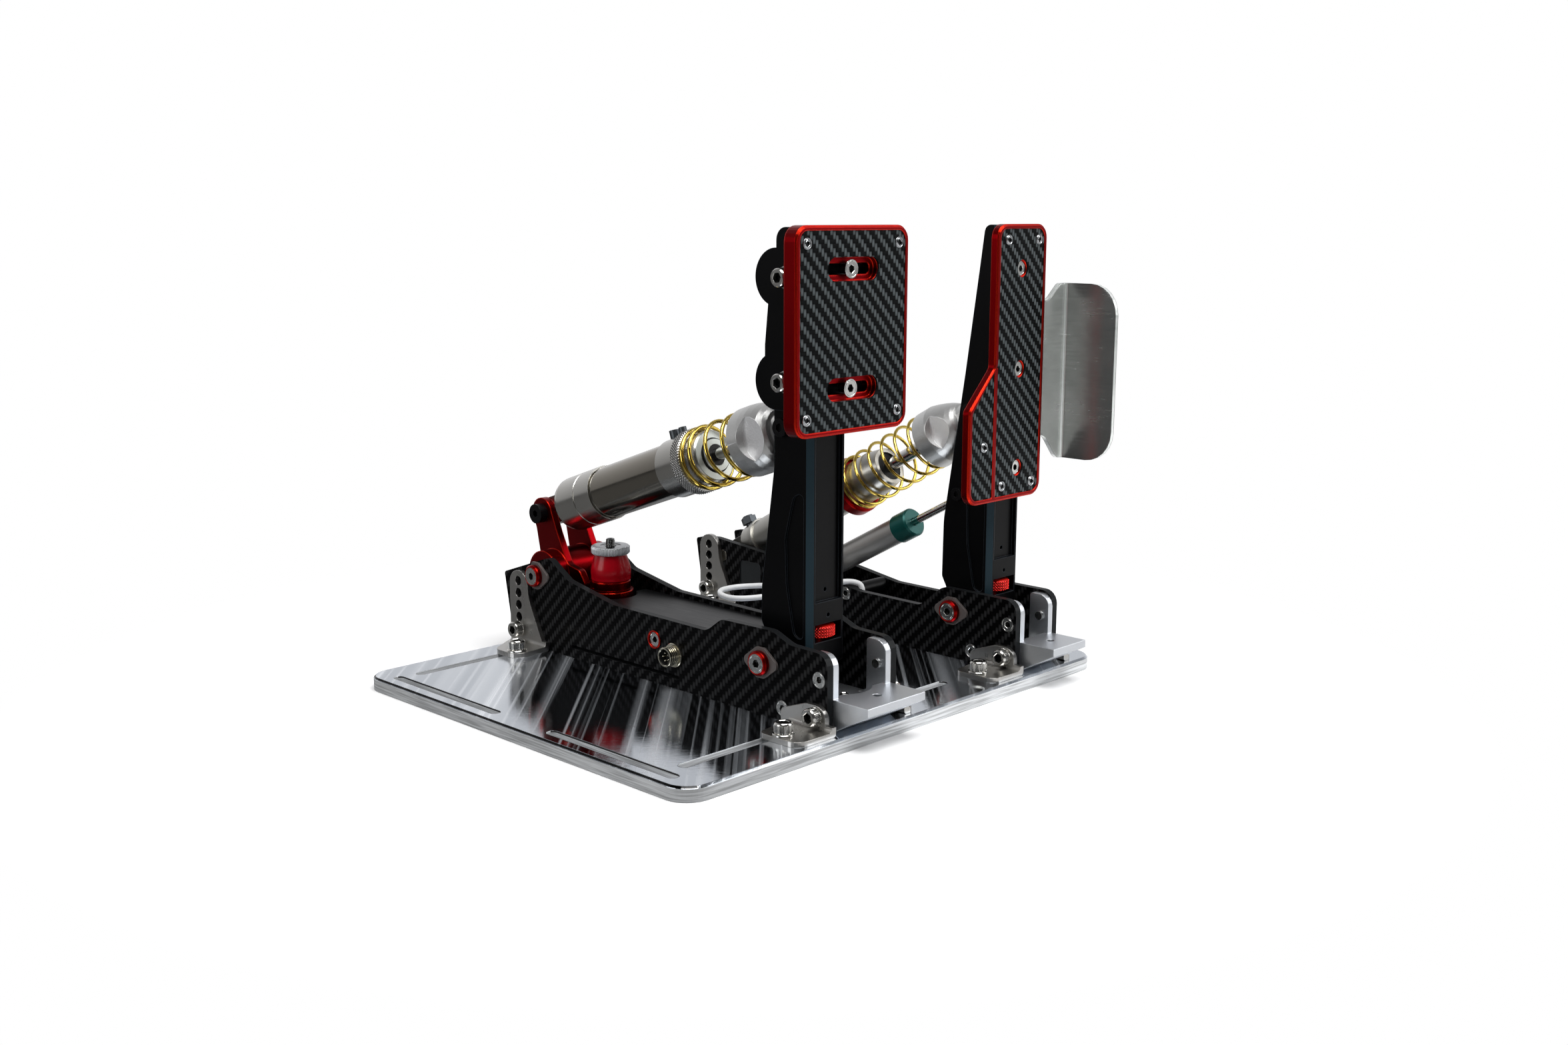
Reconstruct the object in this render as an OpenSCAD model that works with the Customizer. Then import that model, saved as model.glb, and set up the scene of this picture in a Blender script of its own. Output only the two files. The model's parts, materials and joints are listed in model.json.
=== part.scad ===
/* [Base plate] */
// Width of the base plate, left to right
base_w = 340; // [340:1:400]
// Depth of the base plate, front to rear
base_l = 279; // [276:1:320]
// Thickness of the base plate
base_t = 8; // [6:0.5:12]
// Corner radius of the base plate
base_r = 14; // [6:1:24]
// Chamfer round the top edge of the base plate
base_chamfer = 1.2; // [0.5:0.1:2]
// Width of the mounting slots in the base plate
slot_w = 6.4; // [5:0.2:8]
// Distance of the side slots from the left edge
slot_edge = 10; // [8:0.5:14]

/* [Modules] */
// Middle of the brake module, left to right
brake_x = -34.8; // [-50:0.1:-30]
// Outer width of the brake module over its side plates
brake_w = 54.4; // [54:0.2:58]
// Middle of the throttle module, left to right
throttle_x = 120.6; // [115:0.1:122]
// Outer width of the throttle module over its side plates
throttle_w = 41; // [41:0.2:44]
// Thickness of a side plate
plate_t = 4.5; // [3:0.1:4.5]
// Front end of the side plates, front of the middle of the base
front_y = -129.1; // [-131:0.1:-128]
// Height of a side plate at its front end
plate_h = 50; // [48:0.5:54]
// Bore for the screws that join the plates to the heel bracket
side_screw_r = 2.5; // [2:0.1:3]

/* [Pedal pivots] */
// Height of the pedal pivot above the floor
pivot_z = 37.4; // [36.5:0.1:39]
// Place of the pedal pivot, front to rear
pivot_y = -81.5; // [-83:0.1:-81]
// Radius of the pivot axles
axle_r = 5; // [4:0.1:5.5]
// Running clearance of every turning fit, on the radius
fit = 0.06; // [0.04:0.01:0.1]
// Radius of the red cup washers
cup_r = 6.9; // [6.5:0.1:7.5]
// Radius of the countersunk pivot screw heads
pivot_head_r = 5.4; // [4.5:0.1:5.8]

/* [Pedal arms] */
// Width of a pedal arm
arm_w = 29; // [26:0.2:29]
// Front face of the arms, front of the middle of the base
arm_front_y = -104.3; // [-105:0.1:-104]
// Depth of an arm at its foot, front to rear
arm_depth = 35.8; // [34:0.2:37]
// Chamfer along the front edges of an arm
arm_chamfer = 3; // [1:0.2:3.6]
// Depth of the pocket in the front face of an arm
arm_pocket = 2.5; // [1:0.1:4]
// Wall left beside the front pocket and the wheel window
arm_wall = 4.2; // [3:0.1:4.6]
// Radius of the red thumbwheels
wheel_r = 9.4; // [8:0.1:9.5]
// Thickness of the red thumbwheels
wheel_t = 6.6; // [5:0.1:7.4]
// Height of the middle of a thumbwheel
wheel_z = 53.5; // [53:0.1:55]

/* [Brake pedal face] */
// Width of the brake face
brake_face_w = 85; // [70:1:95]
// Height of the brake face
brake_face_h = 105.5; // [100:0.5:110]
// Top of the pedal faces above the floor
face_top_z = 267.5; // [266:0.5:272]
// Thickness of the brake face plate
brake_face_t = 8.6; // [7:0.2:9]
// Front of the brake face plate, front of the middle of the base
brake_face_y = -120.4; // [-122:0.1:-120]
// Width of the rim round the carbon inlays
rim_w = 2.6; // [2:0.1:4]
// Depth of the recess that holds the carbon inlays
inlay_t = 1.6; // [1:0.1:2.4]
// Corner radius of the pedal faces
face_r = 8; // [5:0.5:10]
// Depth to which the carbon inlays stand below the rim
inlay_low = 0.4; // [0.2:0.1:0.8]

/* [Throttle pedal face] */
// Width of the upper part of the throttle face
throttle_face_w = 47; // [44:0.5:50]
// Extra width of the lower part of the throttle face
throttle_step = 22.6; // [16:0.2:26]
// Height of the throttle face
throttle_face_h = 159.5; // [150:0.5:165]
// Thickness of the throttle face plate
throttle_face_t = 5; // [4.4:0.2:7]
// Thickness of the bent side plate
wing_t = 3; // [2:0.2:3.4]
// Reach of the bent side plate beyond the middle of the throttle arm
wing_reach = 53.4; // [48:0.2:60]
// Length of the flange of the bent side plate, towards the driver
wing_flange = 35.6; // [30:0.2:42]

/* [Brake cylinder] */
// Rear pin of the cylinder, front to rear
cyl_rear_y = 126; // [125:0.1:127]
// Rear pin of the cylinder above the floor
cyl_rear_z = 89.8; // [89:0.1:91]
// Front pin of the cylinder above the floor
cyl_front_z = 162.8; // [161:0.1:165]
// Front pin of the cylinder, front to rear
cyl_front_y = -84; // [-84.5:0.1:-83.5]
// Radius of the cylinder tube
tube_r = 15.7; // [14:0.1:16]
// Radius of the end cap of the cylinder
cap_r = 16.7; // [16:0.1:16.9]
// Radius of the front sleeve of the cylinder
sleeve_r = 17.1; // [16.6:0.1:18]
// Radius of the knurled spring ring
ring_r = 18.8; // [18.6:0.1:20]
// Radius of the clevis knob
knob_r = 19.4; // [18.8:0.1:20]
// Radius of the cylinder rod
rod_r = 3.5; // [3:0.1:4.5]
// Radius of the pins at the ends of the cylinder and dampers
pin_r = 4; // [3:0.1:4.4]
// Wire thickness of the brake spring
brake_wire = 2.3; // [1.8:0.1:2.6]
// Mean radius of the brake spring
brake_coil_r = 17.6; // [16.8:0.1:17.6]

/* [Brake rocker] */
// Rear pivot of the rocker, front to rear
rocker_y = 114.5; // [113.5:0.1:115]
// Rear pivot of the rocker above the floor
rocker_z = 54; // [53:0.1:54.5]
// Thickness of a rocker cheek
cheek_t = 4.3; // [3.5:0.1:4.4]
// Place of the elastomer stud, front to rear
stud_y = 76.5; // [75.5:0.1:77.5]
// Radius of the elastomer stud
stud_r = 2.9; // [2.4:0.1:3]
// Seat of the elastomer cup above the floor
cup_seat_z = 47.3; // [47:0.1:48]
// Height of the elastomer cup
cup_h = 6.2; // [5:0.1:7]
// Height of the elastomer
elastomer_h = 16.1; // [14:0.1:18]
// Largest radius of the elastomer
elastomer_r = 12.3; // [11:0.1:12.5]
// Radius of the knurled preload nut
nut_r = 11.8; // [10:0.1:12.5]
// Thickness of the knurled preload nut
nut_t = 4.8; // [4:0.1:5.5]

/* [Throttle damper] */
// Rear pin of the throttle damper, front to rear
damp_rear_y = 119.5; // [118:0.1:121]
// Rear pin of the throttle damper above the floor
damp_rear_z = 41.5; // [40:0.1:42.5]
// Front pin of the throttle damper, front to rear
damp_front_y = -88; // [-88.5:0.1:-87]
// Front pin of the throttle damper above the floor
damp_front_z = 158.6; // [157:0.1:160]
// Radius of the damper tube
damp_r = 13.3; // [12:0.1:13.6]
// Radius of the damper rod
damp_rod_r = 4.2; // [3:0.1:4.8]
// Radius of the throttle clevis knob
damp_knob_r = 18.4; // [18:0.1:19]
// Radius of the red spring collar
collar_r = 18.9; // [18:0.1:20]
// Wire thickness of the throttle spring
throttle_wire = 2; // [1.6:0.1:2.2]
// Mean radius of the throttle spring
throttle_coil_r = 17.3; // [16.8:0.1:17.4]

/* [Slim damper] */
// Rear pin of the slim damper, front to rear
slim_rear_y = 70; // [68:0.1:72]
// Rear pin of the slim damper above the floor
slim_rear_z = 26.4; // [25:0.1:28]
// Front pin of the slim damper, front to rear
slim_front_y = -80; // [-81:0.1:-79]
// Front pin of the slim damper above the floor
slim_front_z = 108; // [107:0.1:110]
// Radius of the slim damper tube
slim_r = 8.2; // [7:0.1:9]
// Radius of the slim damper rod
slim_rod_r = 2.5; // [2:0.1:3]

/* [Brackets] */
// Sheet thickness of the brackets
bracket_t = 3; // [2.5:0.1:3.4]
// Reach of a front bracket foot beyond the side plate
foot_l = 28.5; // [26:0.5:28.5]
// Reach of a rear bracket foot beyond the side plate
rear_foot_l = 27; // [25:0.5:28]
// Radius of the cap screw heads
head_r = 5; // [4.5:0.1:5.2]
// Height of the cap screw heads
head_h = 5.8; // [4.5:0.1:6.2]
// Shank radius of the cap screws
shank_r = 3; // [2.4:0.1:3.2]
// Height of the top hole of the rear brackets
hole_top_z = 48.5; // [47:0.1:49]
// Spacing of the height holes in the rear brackets
hole_pitch = 7.65; // [7.4:0.05:7.8]

/* [Heel brackets] */
// Thickness of an ear of the heel bracket
ear_t = 4.1; // [3:0.1:4.4]
// Depth of an ear, front to rear
ear_l = 13.6; // [12:0.2:14]
// Top of the heel ledge above the floor
ledge_z = 25.6; // [24:0.1:27]
// Reach of the heel ledge in front of the side plates
ledge_l = 24.1; // [20:0.1:27]
// Thickness of the heel ledge at its front edge
ledge_t = 4.4; // [3:0.1:6]

/* [Hidden] */
$fn = 48;

// Where the modules stand
plate_z = base_t;
brake_in = brake_w / 2 - plate_t;
throttle_in = throttle_w / 2 - plate_t;
modules = [[brake_x, brake_w / 2], [throttle_x, throttle_w / 2]];

// Screws through the side plates
bolt_a = [front_y + 6.2, base_t + 27.9];
bolt_b = [front_y + 32.6, base_t + 6.9];
marker = [5.5, base_t + 25.6];
socket = [-11.5, base_t + 19.8];
socket_r = 6;
side_head_r = 4.4;
bolt_ring_r = 5.1;
bolt_sink = 2;
boss_l = 14.2;
boss_w = 8.4;
boss_t = 1.6;
cup_t = 3.4;

// Brackets
front_foot_y = [front_y - 6.4, front_y + 22];
front_leg_y = [front_y - 1.5, front_y + 30.5];
front_leg_h = 15;
front_screw = [22.5, front_y + 9.6];
tail_screw = [11.5, front_y + 24.6];
tail_l = 18;
floor_screw = [3.6, front_y + 16];
floor_screw_r = 1.5;
front_side_screw = [front_y + 6, base_t + 9.2];
rear_hole_y = 130.2;
rear_top_r = 8.8;
rear_foot_y = [101, 139];
rear_screw = [20.8, 109];
rear_holes = [for (i = [0:4]) hole_top_z - i * hole_pitch];
washer_t = 1.2;
washer_r = head_r + 0.9;

// Rows of mounting slots in the base plate, as [x, y, length, along y]
slot_len = 92;
side_slot_len = 100;
front_slot_y = -112;
rear_slot_y = 117;
slot_x = [-103, 11];
side_slot_y = [-72.3, 71.5];
slot_list = concat(
  [for (x = slot_x) each [[x, front_slot_y, slot_len, 0], [x, rear_slot_y, slot_len, 0]]],
  [for (y = side_slot_y) [slot_edge - base_w / 2, y, side_slot_len, 1]]
);

// Pedal arms
arm_rear_y = arm_front_y + arm_depth;
arm_foot_z = 75;
arm_half = arm_w / 2;
lobe_r = 14;
window_z = 4.9;
window_half = arm_half - arm_wall;
wheel_y = arm_front_y + wheel_r - 1.4;
spindle_r = 3;
carrier_t = 5;
brake_arm_top = face_top_z - 11.5;
carrier_rear_y = brake_face_y + brake_face_t + 5;
lobe_z = [face_top_z - 26.5, face_top_z - 80.1];
carrier_low = face_top_z - 95.1;
carrier_lobe = [-84, 15];
carrier_bolt_y = -91;
throttle_arm_top = face_top_z - 0.4;

// Pedal faces
brake_face_x = brake_x + 0.3;
throttle_face_y = arm_front_y - wing_t - throttle_face_t;
throttle_right = throttle_x + 22.5;
throttle_left = throttle_right - throttle_face_w;
throttle_low_left = throttle_left - throttle_step;
brake_bottom = face_top_z - brake_face_h;
throttle_bottom = face_top_z - throttle_face_h;
brake_slots = [face_top_z - 21.9, face_top_z - 82.5];
brake_slot_half = 19.4;
brake_slot_r = 6;
throttle_bolts = [for (d = [25.3, 83.3, 141.5]) face_top_z - d];
rib_left = throttle_left - 0.2;
slant_z = [face_top_z - 104.9, face_top_z - 81.5];
wing_z = [face_top_z - 141.1, face_top_z - 35.1];
wing_tab_z = [face_top_z - 125.5, face_top_z - 44.9];

// Line of a cylinder or damper from its rear pin to its front pin
function reach(y0, z0, y1, z1) = norm([y1 - y0, z1 - z0]);
function tilt(y0, z0, y1, z1) = atan2(z1 - z0, y0 - y1);
cyl_len = reach(cyl_rear_y, cyl_rear_z, cyl_front_y, cyl_front_z);
cyl_tilt = tilt(cyl_rear_y, cyl_rear_z, cyl_front_y, cyl_front_z);
damp_len = reach(damp_rear_y, damp_rear_z, damp_front_y, damp_front_z);
damp_tilt = tilt(damp_rear_y, damp_rear_z, damp_front_y, damp_front_z);
slim_len = reach(slim_rear_y, slim_rear_z, slim_front_y, slim_front_z);
slim_tilt = tilt(slim_rear_y, slim_rear_z, slim_front_y, slim_front_z);

// Stations along the brake cylinder, from its rear pin
cap_s = [14.1, 54.5];
tube_s = 118.2;
ring_s = [133.1, 140.9];
inner_s = 151.2;
knob_s = 182.5;
knob_flat = 8;
mill_r = 16;
tang_half = 9;
tang_r = 8.5;
sleeve_in_r = 15;
bush_s = [138, 152.7];
bush_r = 10;
neck_r = 10;
neck_s = 208.5;
open_fit = 0.45;

// Stations along the throttle damper, from its rear pin
damp_cap_s = [12, 22.7];
collar_s = [113.5, 122];
damp_nose_s = 152;
damp_knob_s = 191.9;
damp_knob_flat = 9;
damp_body_r = 14.5;
damp_bush_s = 130;
damp_neck_s = 222;

// Stations along the slim damper, from its rear pin
slim_cap_s = [105.2, 118.4];
slim_eye = 5;
slim_eye_r = 6.5;
slim_pin_r = 3;

// Brake rocker
cheek_in = tang_half + 0.3;
cheek_out = cheek_in + cheek_t;
rocker_plate_t = 5;
hub_r = 14.5;
rocker_axle_r = 5;

// Points of an arc that rounds the corner b between a and c
function unit(v) = v / norm(v);
function corner(a, b, c, r, n = 6) =
  let (u = unit(a - b), w = unit(c - b))
  let (half = acos(max(-1, min(1, u * w))) / 2)
  let (m = b + unit(u + w) * r / sin(half))
  let (s = b + u * r / tan(half) - m, e = b + w * r / tan(half) - m)
  let (start = atan2(s.y, s.x), turn = ((atan2(e.y, e.x) - start + 540) % 360) - 180)
  [for (i = [0:n]) m + r * [cos(start + turn * i / n), sin(start + turn * i / n)]];

// Closed outline through points given as [x, y, corner radius]
function outline(p, n = 6) =
  [for (i = [0:len(p) - 1])
    let (a = p[(i + len(p) - 1) % len(p)], b = p[i], c = p[(i + 1) % len(p)])
    each b[2] > 0 ? corner([a.x, a.y], [b.x, b.y], [c.x, c.y], b[2], n) : [[b.x, b.y]]];
function rounded_box(x0, y0, x1, y1, r) =
  outline([[x0, y0, r], [x1, y0, r], [x1, y1, r], [x0, y1, r]]);

// A flat shape drawn in y and z, standing from x with thickness t
module upright(x, t) {
  translate([x, 0, 0]) rotate([90, 0, 90]) linear_extrude(t) children();
}

// A flat shape drawn in x and z, standing from y towards the rear with thickness t
module facing(y, t) {
  translate([0, y + t, 0]) rotate([90, 0, 0]) linear_extrude(t) children();
}

// A round bar along x
module bar(x, len, r, y, z) {
  translate([x, y, z]) rotate([0, 90, 0]) cylinder(h = len, r = r);
}

// A round bar along y, running to the rear
module stud_y_bar(x, y, z, len, r1, r2) {
  translate([x, y, z]) rotate([-90, 0, 0]) cylinder(h = len, r1 = r1, r2 = r2);
}

// Places children with +z running from a rear pin towards the front pin
module along(x, y, z, angle, s = 0) {
  translate([x, y, z]) rotate([90 - angle, 0, 0]) translate([0, 0, s]) children();
}
module on_cylinder(s = 0) {
  along(brake_x, cyl_rear_y, cyl_rear_z, cyl_tilt, s) children();
}
module on_damper(s = 0) {
  along(throttle_x, damp_rear_y, damp_rear_z, damp_tilt, s) children();
}
module on_slim(s = 0) {
  along(throttle_x, slim_rear_y, slim_rear_z, slim_tilt, s) children();
}

// A slot with round ends
module slot(len, w, h) {
  translate([-(len - w) / 2, -w / 2, 0]) cube([len - w, w, h]);
  for (s = [-1, 1]) translate([s * (len - w) / 2, 0, 0]) cylinder(h = h, r = w / 2);
}

// Socket head cap screw with its head above z = 0 and its shank below
module cap_screw(shank, hr = head_r, hh = head_h, sr = shank_r) {
  difference() {
    union() {
      cylinder(h = hh, r = hr);
      translate([0, 0, -shank]) cylinder(h = shank + 0.1, r = sr);
    }
    translate([0, 0, hh * 0.45]) cylinder(h = hh, r = hr * 0.5, $fn = 6);
  }
}

// Countersunk screw with its flat head ending at z = 0
module flat_screw(shank, hr, sr) {
  head = hr - sr;
  difference() {
    union() {
      translate([0, 0, -head]) cylinder(h = head, r1 = sr, r2 = hr);
      translate([0, 0, -shank]) cylinder(h = shank - head + 0.01, r = sr);
    }
    translate([0, 0, -head * 0.8]) cylinder(h = head, r = hr * 0.42, $fn = 6);
  }
}

// Turns a screw so that its head faces left (side -1) or right (side 1)
module facing_side(x, y, z, side) {
  translate([x, y, z]) rotate([0, side * 90, 0]) children();
}

// Points along a spring: turn number to station, from a table of crossings
function coil(table, r, wire, n = 8) =
  let (t0 = table[0][0], t1 = table[len(table) - 1][0], steps = ceil((t1 - t0) * n))
  let (ts = [for (i = [0:steps]) t0 + (t1 - t0) * i / steps])
  let (p = [for (t = ts) [r * cos(360 * t), r * sin(360 * t), lookup(t, table)]])
  let (a = unit([sin(360 * t0), -cos(360 * t0), 0]), b = unit([-sin(360 * t1), cos(360 * t1), 0]))
  concat([p[0] + a * wire], p, [p[steps] + b * wire]);

// Tube of 6 sides swept along points
module swept(p, r, sides = 6, side = undef) {
  last = len(p) - 1;
  dir = [for (i = [0:last]) unit(p[min(i + 1, last)] - p[max(i - 1, 0)])];
  out = [for (i = [0:last]) let (ref = side == undef ? [p[i].x, p[i].y, 0] : side)
    unit(cross(cross(dir[i], ref), dir[i]))];
  up = [for (i = [0:last]) cross(dir[i], out[i])];
  points = [for (i = [0:last]) for (k = [0:sides - 1])
    p[i] + r * (out[i] * cos(360 * k / sides) + up[i] * sin(360 * k / sides))];
  walls = [for (i = [0:last - 1]) for (k = [0:sides - 1])
    let (a = i * sides + k, b = i * sides + (k + 1) % sides)
    each [[a, a + sides, b], [b, a + sides, b + sides]]];
  ends = [for (k = [1:sides - 2]) each
    [[0, k, k + 1], [last * sides, last * sides + k + 1, last * sides + k]]];
  polyhedron(points, concat(walls, ends));
}

// Least gap of a coil to itself, measured between points over half a turn apart
function coil_gap(p, wire, n = 8) =
  min([for (i = [0:len(p) - 1]) for (j = [i + n - 2:1:len(p) - 1]) norm(p[i] - p[j])]) - wire;

// Base plate and its fasteners
function foot_points() =
  [for (m = modules) for (s = [-1, 1]) each [
    [m[0] + s * (m[1] + (s < 0 ? front_screw : tail_screw)[0]), (s < 0 ? front_screw : tail_screw)[1]],
    [m[0] + s * (m[1] + rear_screw[0]), rear_screw[1]]]];

module base_plate() {
  color("gainsboro") difference() {
    hull() for (x = [-1, 1], y = [-1, 1])
      translate([x * (base_w / 2 - base_r), y * (base_l / 2 - base_r), 0]) {
        cylinder(h = base_t - base_chamfer, r = base_r, $fn = 32);
        cylinder(h = base_t, r = base_r - base_chamfer, $fn = 32);
      }
    for (s = slot_list)
      translate([s[0], s[1], -1]) rotate([0, 0, 90 * s[3]]) slot(s[2], slot_w, base_t + 2);
    for (p = foot_points()) translate([p.x, p.y, -1]) cylinder(h = base_t + 2, r = shank_r);
  }
}

module cap_screws() {
  seat = base_t + bracket_t;
  side_gap = bracket_t + plate_t;
  color("silver") {
    for (p = foot_points()) translate([p.x, p.y, seat]) {
      translate([0, 0, washer_t]) cap_screw(seat + washer_t - 1);
      difference() {
        cylinder(h = washer_t, r = washer_r);
        translate([0, 0, -1]) cylinder(h = washer_t + 2, r = shank_r + fit);
      }
    }
    for (m = modules, s = [-1, 1], p = [front_side_screw, [rear_hole_y, rear_holes[4]]])
      facing_side(m[0] + s * (m[1] + bracket_t), p.x, p.y, s) cap_screw(side_gap);
    for (x = [brake_x, throttle_x]) translate([x + floor_screw.x, floor_screw.y, heel_floor])
      cap_screw(5.5, 2.7, 2.6, floor_screw_r);
  }
}

// A bent bracket whose leg stands at x = 0 and whose foot runs towards +x
module bent(foot, leg_top, bend) {
  y0 = front_y - 20;
  translate([0, y0 + 300, 0]) rotate([90, 0, 0]) linear_extrude(300)
    polygon(outline([[0, base_t, bend], [foot, base_t, 0], [foot, base_t + bracket_t, 0],
      [bracket_t, base_t + bracket_t, bend], [bracket_t, leg_top, 0], [0, leg_top, 0]]));
}

module front_bracket(foot, screw) {
  top = base_t + front_leg_h;
  difference() {
    intersection() {
      bent(foot_l, top, 2);
      union() {
        upright(0, bracket_t) polygon(outline([
          [front_leg_y[0], base_t, 0], [front_leg_y[0], top, 7], [front_leg_y[0] + 14, top, 9],
          [front_leg_y[1], base_t + 8.5, 3], [front_leg_y[1], base_t, 0]]));
        linear_extrude(base_t + bracket_t + 2.5) polygon(outline(foot));
      }
    }
    bar(-1, bracket_t + 2, shank_r, front_side_screw[0], front_side_screw[1]);
    translate([screw[0], screw[1], 0]) cylinder(h = base_t * 3, r = shank_r);
  }
}

module rear_bracket() {
  top = hole_top_z + 6.6;
  difference() {
    intersection() {
      bent(rear_foot_l, top, 2);
      union() {
        upright(0, bracket_t) polygon(outline([
          [rear_foot_y[1], base_t, 0], [rear_foot_y[1], top, rear_top_r - 0.1],
          [rear_hole_y - rear_top_r, top, rear_top_r - 0.1],
          [rear_hole_y - rear_top_r - 1, top - 16, 30], [rear_foot_y[0] + 4, base_t, 0]]));
        linear_extrude(base_t + bracket_t + 2.5) polygon(outline([
          [0, rear_foot_y[0] + 3, 0], [rear_foot_l, rear_foot_y[0], 8],
          [rear_foot_l, rear_foot_y[1] - 16, 8], [0, rear_foot_y[1], 0]]));
      }
    }
    for (z = rear_holes) bar(-1, bracket_t + 2, shank_r, rear_hole_y, z);
    translate([rear_screw[0], rear_screw[1], 0]) cylinder(h = base_t * 3, r = shank_r);
  }
}

module on_side(m, side) {
  translate([m[0] + side * m[1], 0, 0]) mirror([side < 0 ? 1 : 0, 0, 0]) children();
}

// Front brackets: a wide foot on the left of each module, a narrow one that widens to the rear on its right
module front_brackets() {
  color("silver") for (m = modules) {
    on_side(m, -1) front_bracket([[0, front_foot_y[0], 0], [foot_l, front_foot_y[0], 7],
      [foot_l, front_foot_y[1], 5], [0, front_foot_y[1] + 3, 0]], front_screw);
    on_side(m, 1) front_bracket([[0, front_foot_y[0], 0], [7, front_foot_y[0], 2], [7, front_y + 7, 4],
      [tail_l, front_y + 18, 5], [tail_l, front_leg_y[1], 5], [0, front_leg_y[1] + 1, 0]], tail_screw);
  }
}

module rear_brackets() {
  color("silver") for (m = modules, side = [-1, 1]) on_side(m, side) rear_bracket();
}

// Side plates
brake_outline = outline([
  [front_y, plate_z, 1.5], [front_y, plate_h, 8], [-102, plate_h + 0.6, 14],
  [pivot_y - 7, 56, 12], [pivot_y + 31.5, 55.4, 8], [-38, 46.8, 12], [42, 47.6, 20],
  [84.5, 55.3, 12], [rocker_y - 11.5, rocker_z + 12.6, 8],
  [rocker_y + 33.7, plate_h + 1.3, 2], [rocker_y + 25.5, plate_z, 1.5]]);
throttle_outline = outline([
  [front_y, plate_z, 1.5], [front_y, plate_h + 0.8, 8], [pivot_y + 7.5, plate_h + 0.8, 9],
  [pivot_y + 25, 36.6, 9], [-6, 36.9, 20], [72, 48.4, 20], [127, 53.2, 30],
  [146, 50.5, 2], [139, plate_z, 1.5]]);
slit = [-14.7, 81.7, base_t + 6, 2];
panel = [82.6, base_t + 15.4, 102.6, base_t + 33];

module side_holes(x) {
  bar(x, plate_t + 2, axle_r, pivot_y, pivot_z);
  for (p = [bolt_a, bolt_b, marker]) bar(x, plate_t + 2, side_screw_r, p.x, p.y);
  bar(x, plate_t + 2, shank_r, front_side_screw[0], front_side_screw[1]);
  bar(x, plate_t + 2, shank_r, rear_hole_y, rear_holes[4]);
}

// Countersinks for the side screws, with the heads flush at x and facing side
module side_sinks(x, side) {
  for (p = [bolt_a, bolt_b, marker]) facing_side(x, p.x, p.y, side) flat_body(8, side_head_r, side_screw_r);
}

module flat_body(shank, hr, sr) {
  head = hr - sr;
  translate([0, 0, -head]) cylinder(h = head, r1 = sr, r2 = hr);
  translate([0, 0, -shank]) cylinder(h = shank - head + 0.01, r = sr);
}

module brake_plate(x, side) {
  difference() {
    upright(x, plate_t) polygon(brake_outline);
    side_holes(x - 1);
    side_sinks(side < 0 ? x : x + plate_t, side);
    bar(x - 1, plate_t + 2, rocker_axle_r, rocker_y, rocker_z);
    translate([x - 1, slit[0], slit[2]]) cube([plate_t + 2, slit[1] - slit[0], slit[3]]);
    if (side < 0) bar(x - 1, plate_t + 2, socket_r, socket.x, socket.y);
  }
}

module brake_plate_left() {
  color([0.12, 0.12, 0.13]) brake_plate(brake_x - brake_w / 2, -1);
}

module brake_plate_right() {
  color([0.12, 0.12, 0.13]) brake_plate(brake_x + brake_in, 1);
}

module throttle_plate(x, side) {
  difference() {
    upright(x, plate_t) polygon(throttle_outline);
    side_holes(x - 1);
    side_sinks(side < 0 ? x : x + plate_t, side);
    bar(x - 1, plate_t + 2, pin_r, damp_rear_y, damp_rear_z);
    bar(x - 1, plate_t + 2, slim_pin_r, slim_rear_y, slim_rear_z);
    if (side < 0) upright(x - 1, plate_t + 2)
      polygon(rounded_box(panel[0], panel[1], panel[2], panel[3], 3));
  }
}

module throttle_plate_left() {
  color([0.12, 0.12, 0.13]) throttle_plate(throttle_x - throttle_w / 2, -1);
}

module throttle_plate_right() {
  color([0.12, 0.12, 0.13]) throttle_plate(throttle_x + throttle_in, 1);
}

// Heel bracket between the front ends of two side plates
heel_floor = base_t + 9.7;
heel_rear_y = front_y + 39;

module heel(x, half) {
  wide = 2 * half;
  difference() {
    union() {
      for (s = [-1, 1]) upright(x + (s < 0 ? -half : half - ear_t), ear_t) polygon(outline([
        [front_y, base_t, 0], [front_y, plate_h - 0.9, 7], [front_y + ear_l, plate_h - 0.9, 2],
        [front_y + ear_l, heel_floor + 2, 2], [front_y + ear_l + 6, heel_floor, 0],
        [front_y + ear_l + 6, base_t, 0]]));
      upright(x - half, wide) polygon([
        [front_y, base_t], [front_y - ledge_l, ledge_z - ledge_t], [front_y - ledge_l, ledge_z],
        [front_y + 3, ledge_z], [front_y + 3, heel_floor], [heel_rear_y, heel_floor],
        [heel_rear_y, base_t]]);
    }
    translate([x, front_y + 14, heel_floor]) cylinder(h = 40, r = min(half - ear_t, ear_l + 2));
    translate([x, front_y - 10.3, 0]) cylinder(h = 60, r = 2.4);
    for (p = [bolt_a, bolt_b]) bar(x - half - 1, wide + 2, side_screw_r, p.x, p.y);
    translate([x + floor_screw.x, floor_screw.y, heel_floor - 6]) cylinder(h = 20, r = floor_screw_r);
  }
}

module brake_heel() {
  color("darkgray") heel(brake_x, brake_in);
}

module throttle_heel() {
  color("darkgray") heel(throttle_x, throttle_in);
}

// Cover between the brake side plates, notched round the elastomer
module brake_cover() {
  top = 44.4;
  color([0.2, 0.2, 0.21]) difference() {
    translate([brake_x - brake_in, pivot_y + 31, top - 2])
      cube([2 * brake_in, stud_y - 6 - pivot_y - 31, 2]);
    translate([brake_x, stud_y, top - 4]) cylinder(h = 8, r = 16);
  }
}

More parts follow.
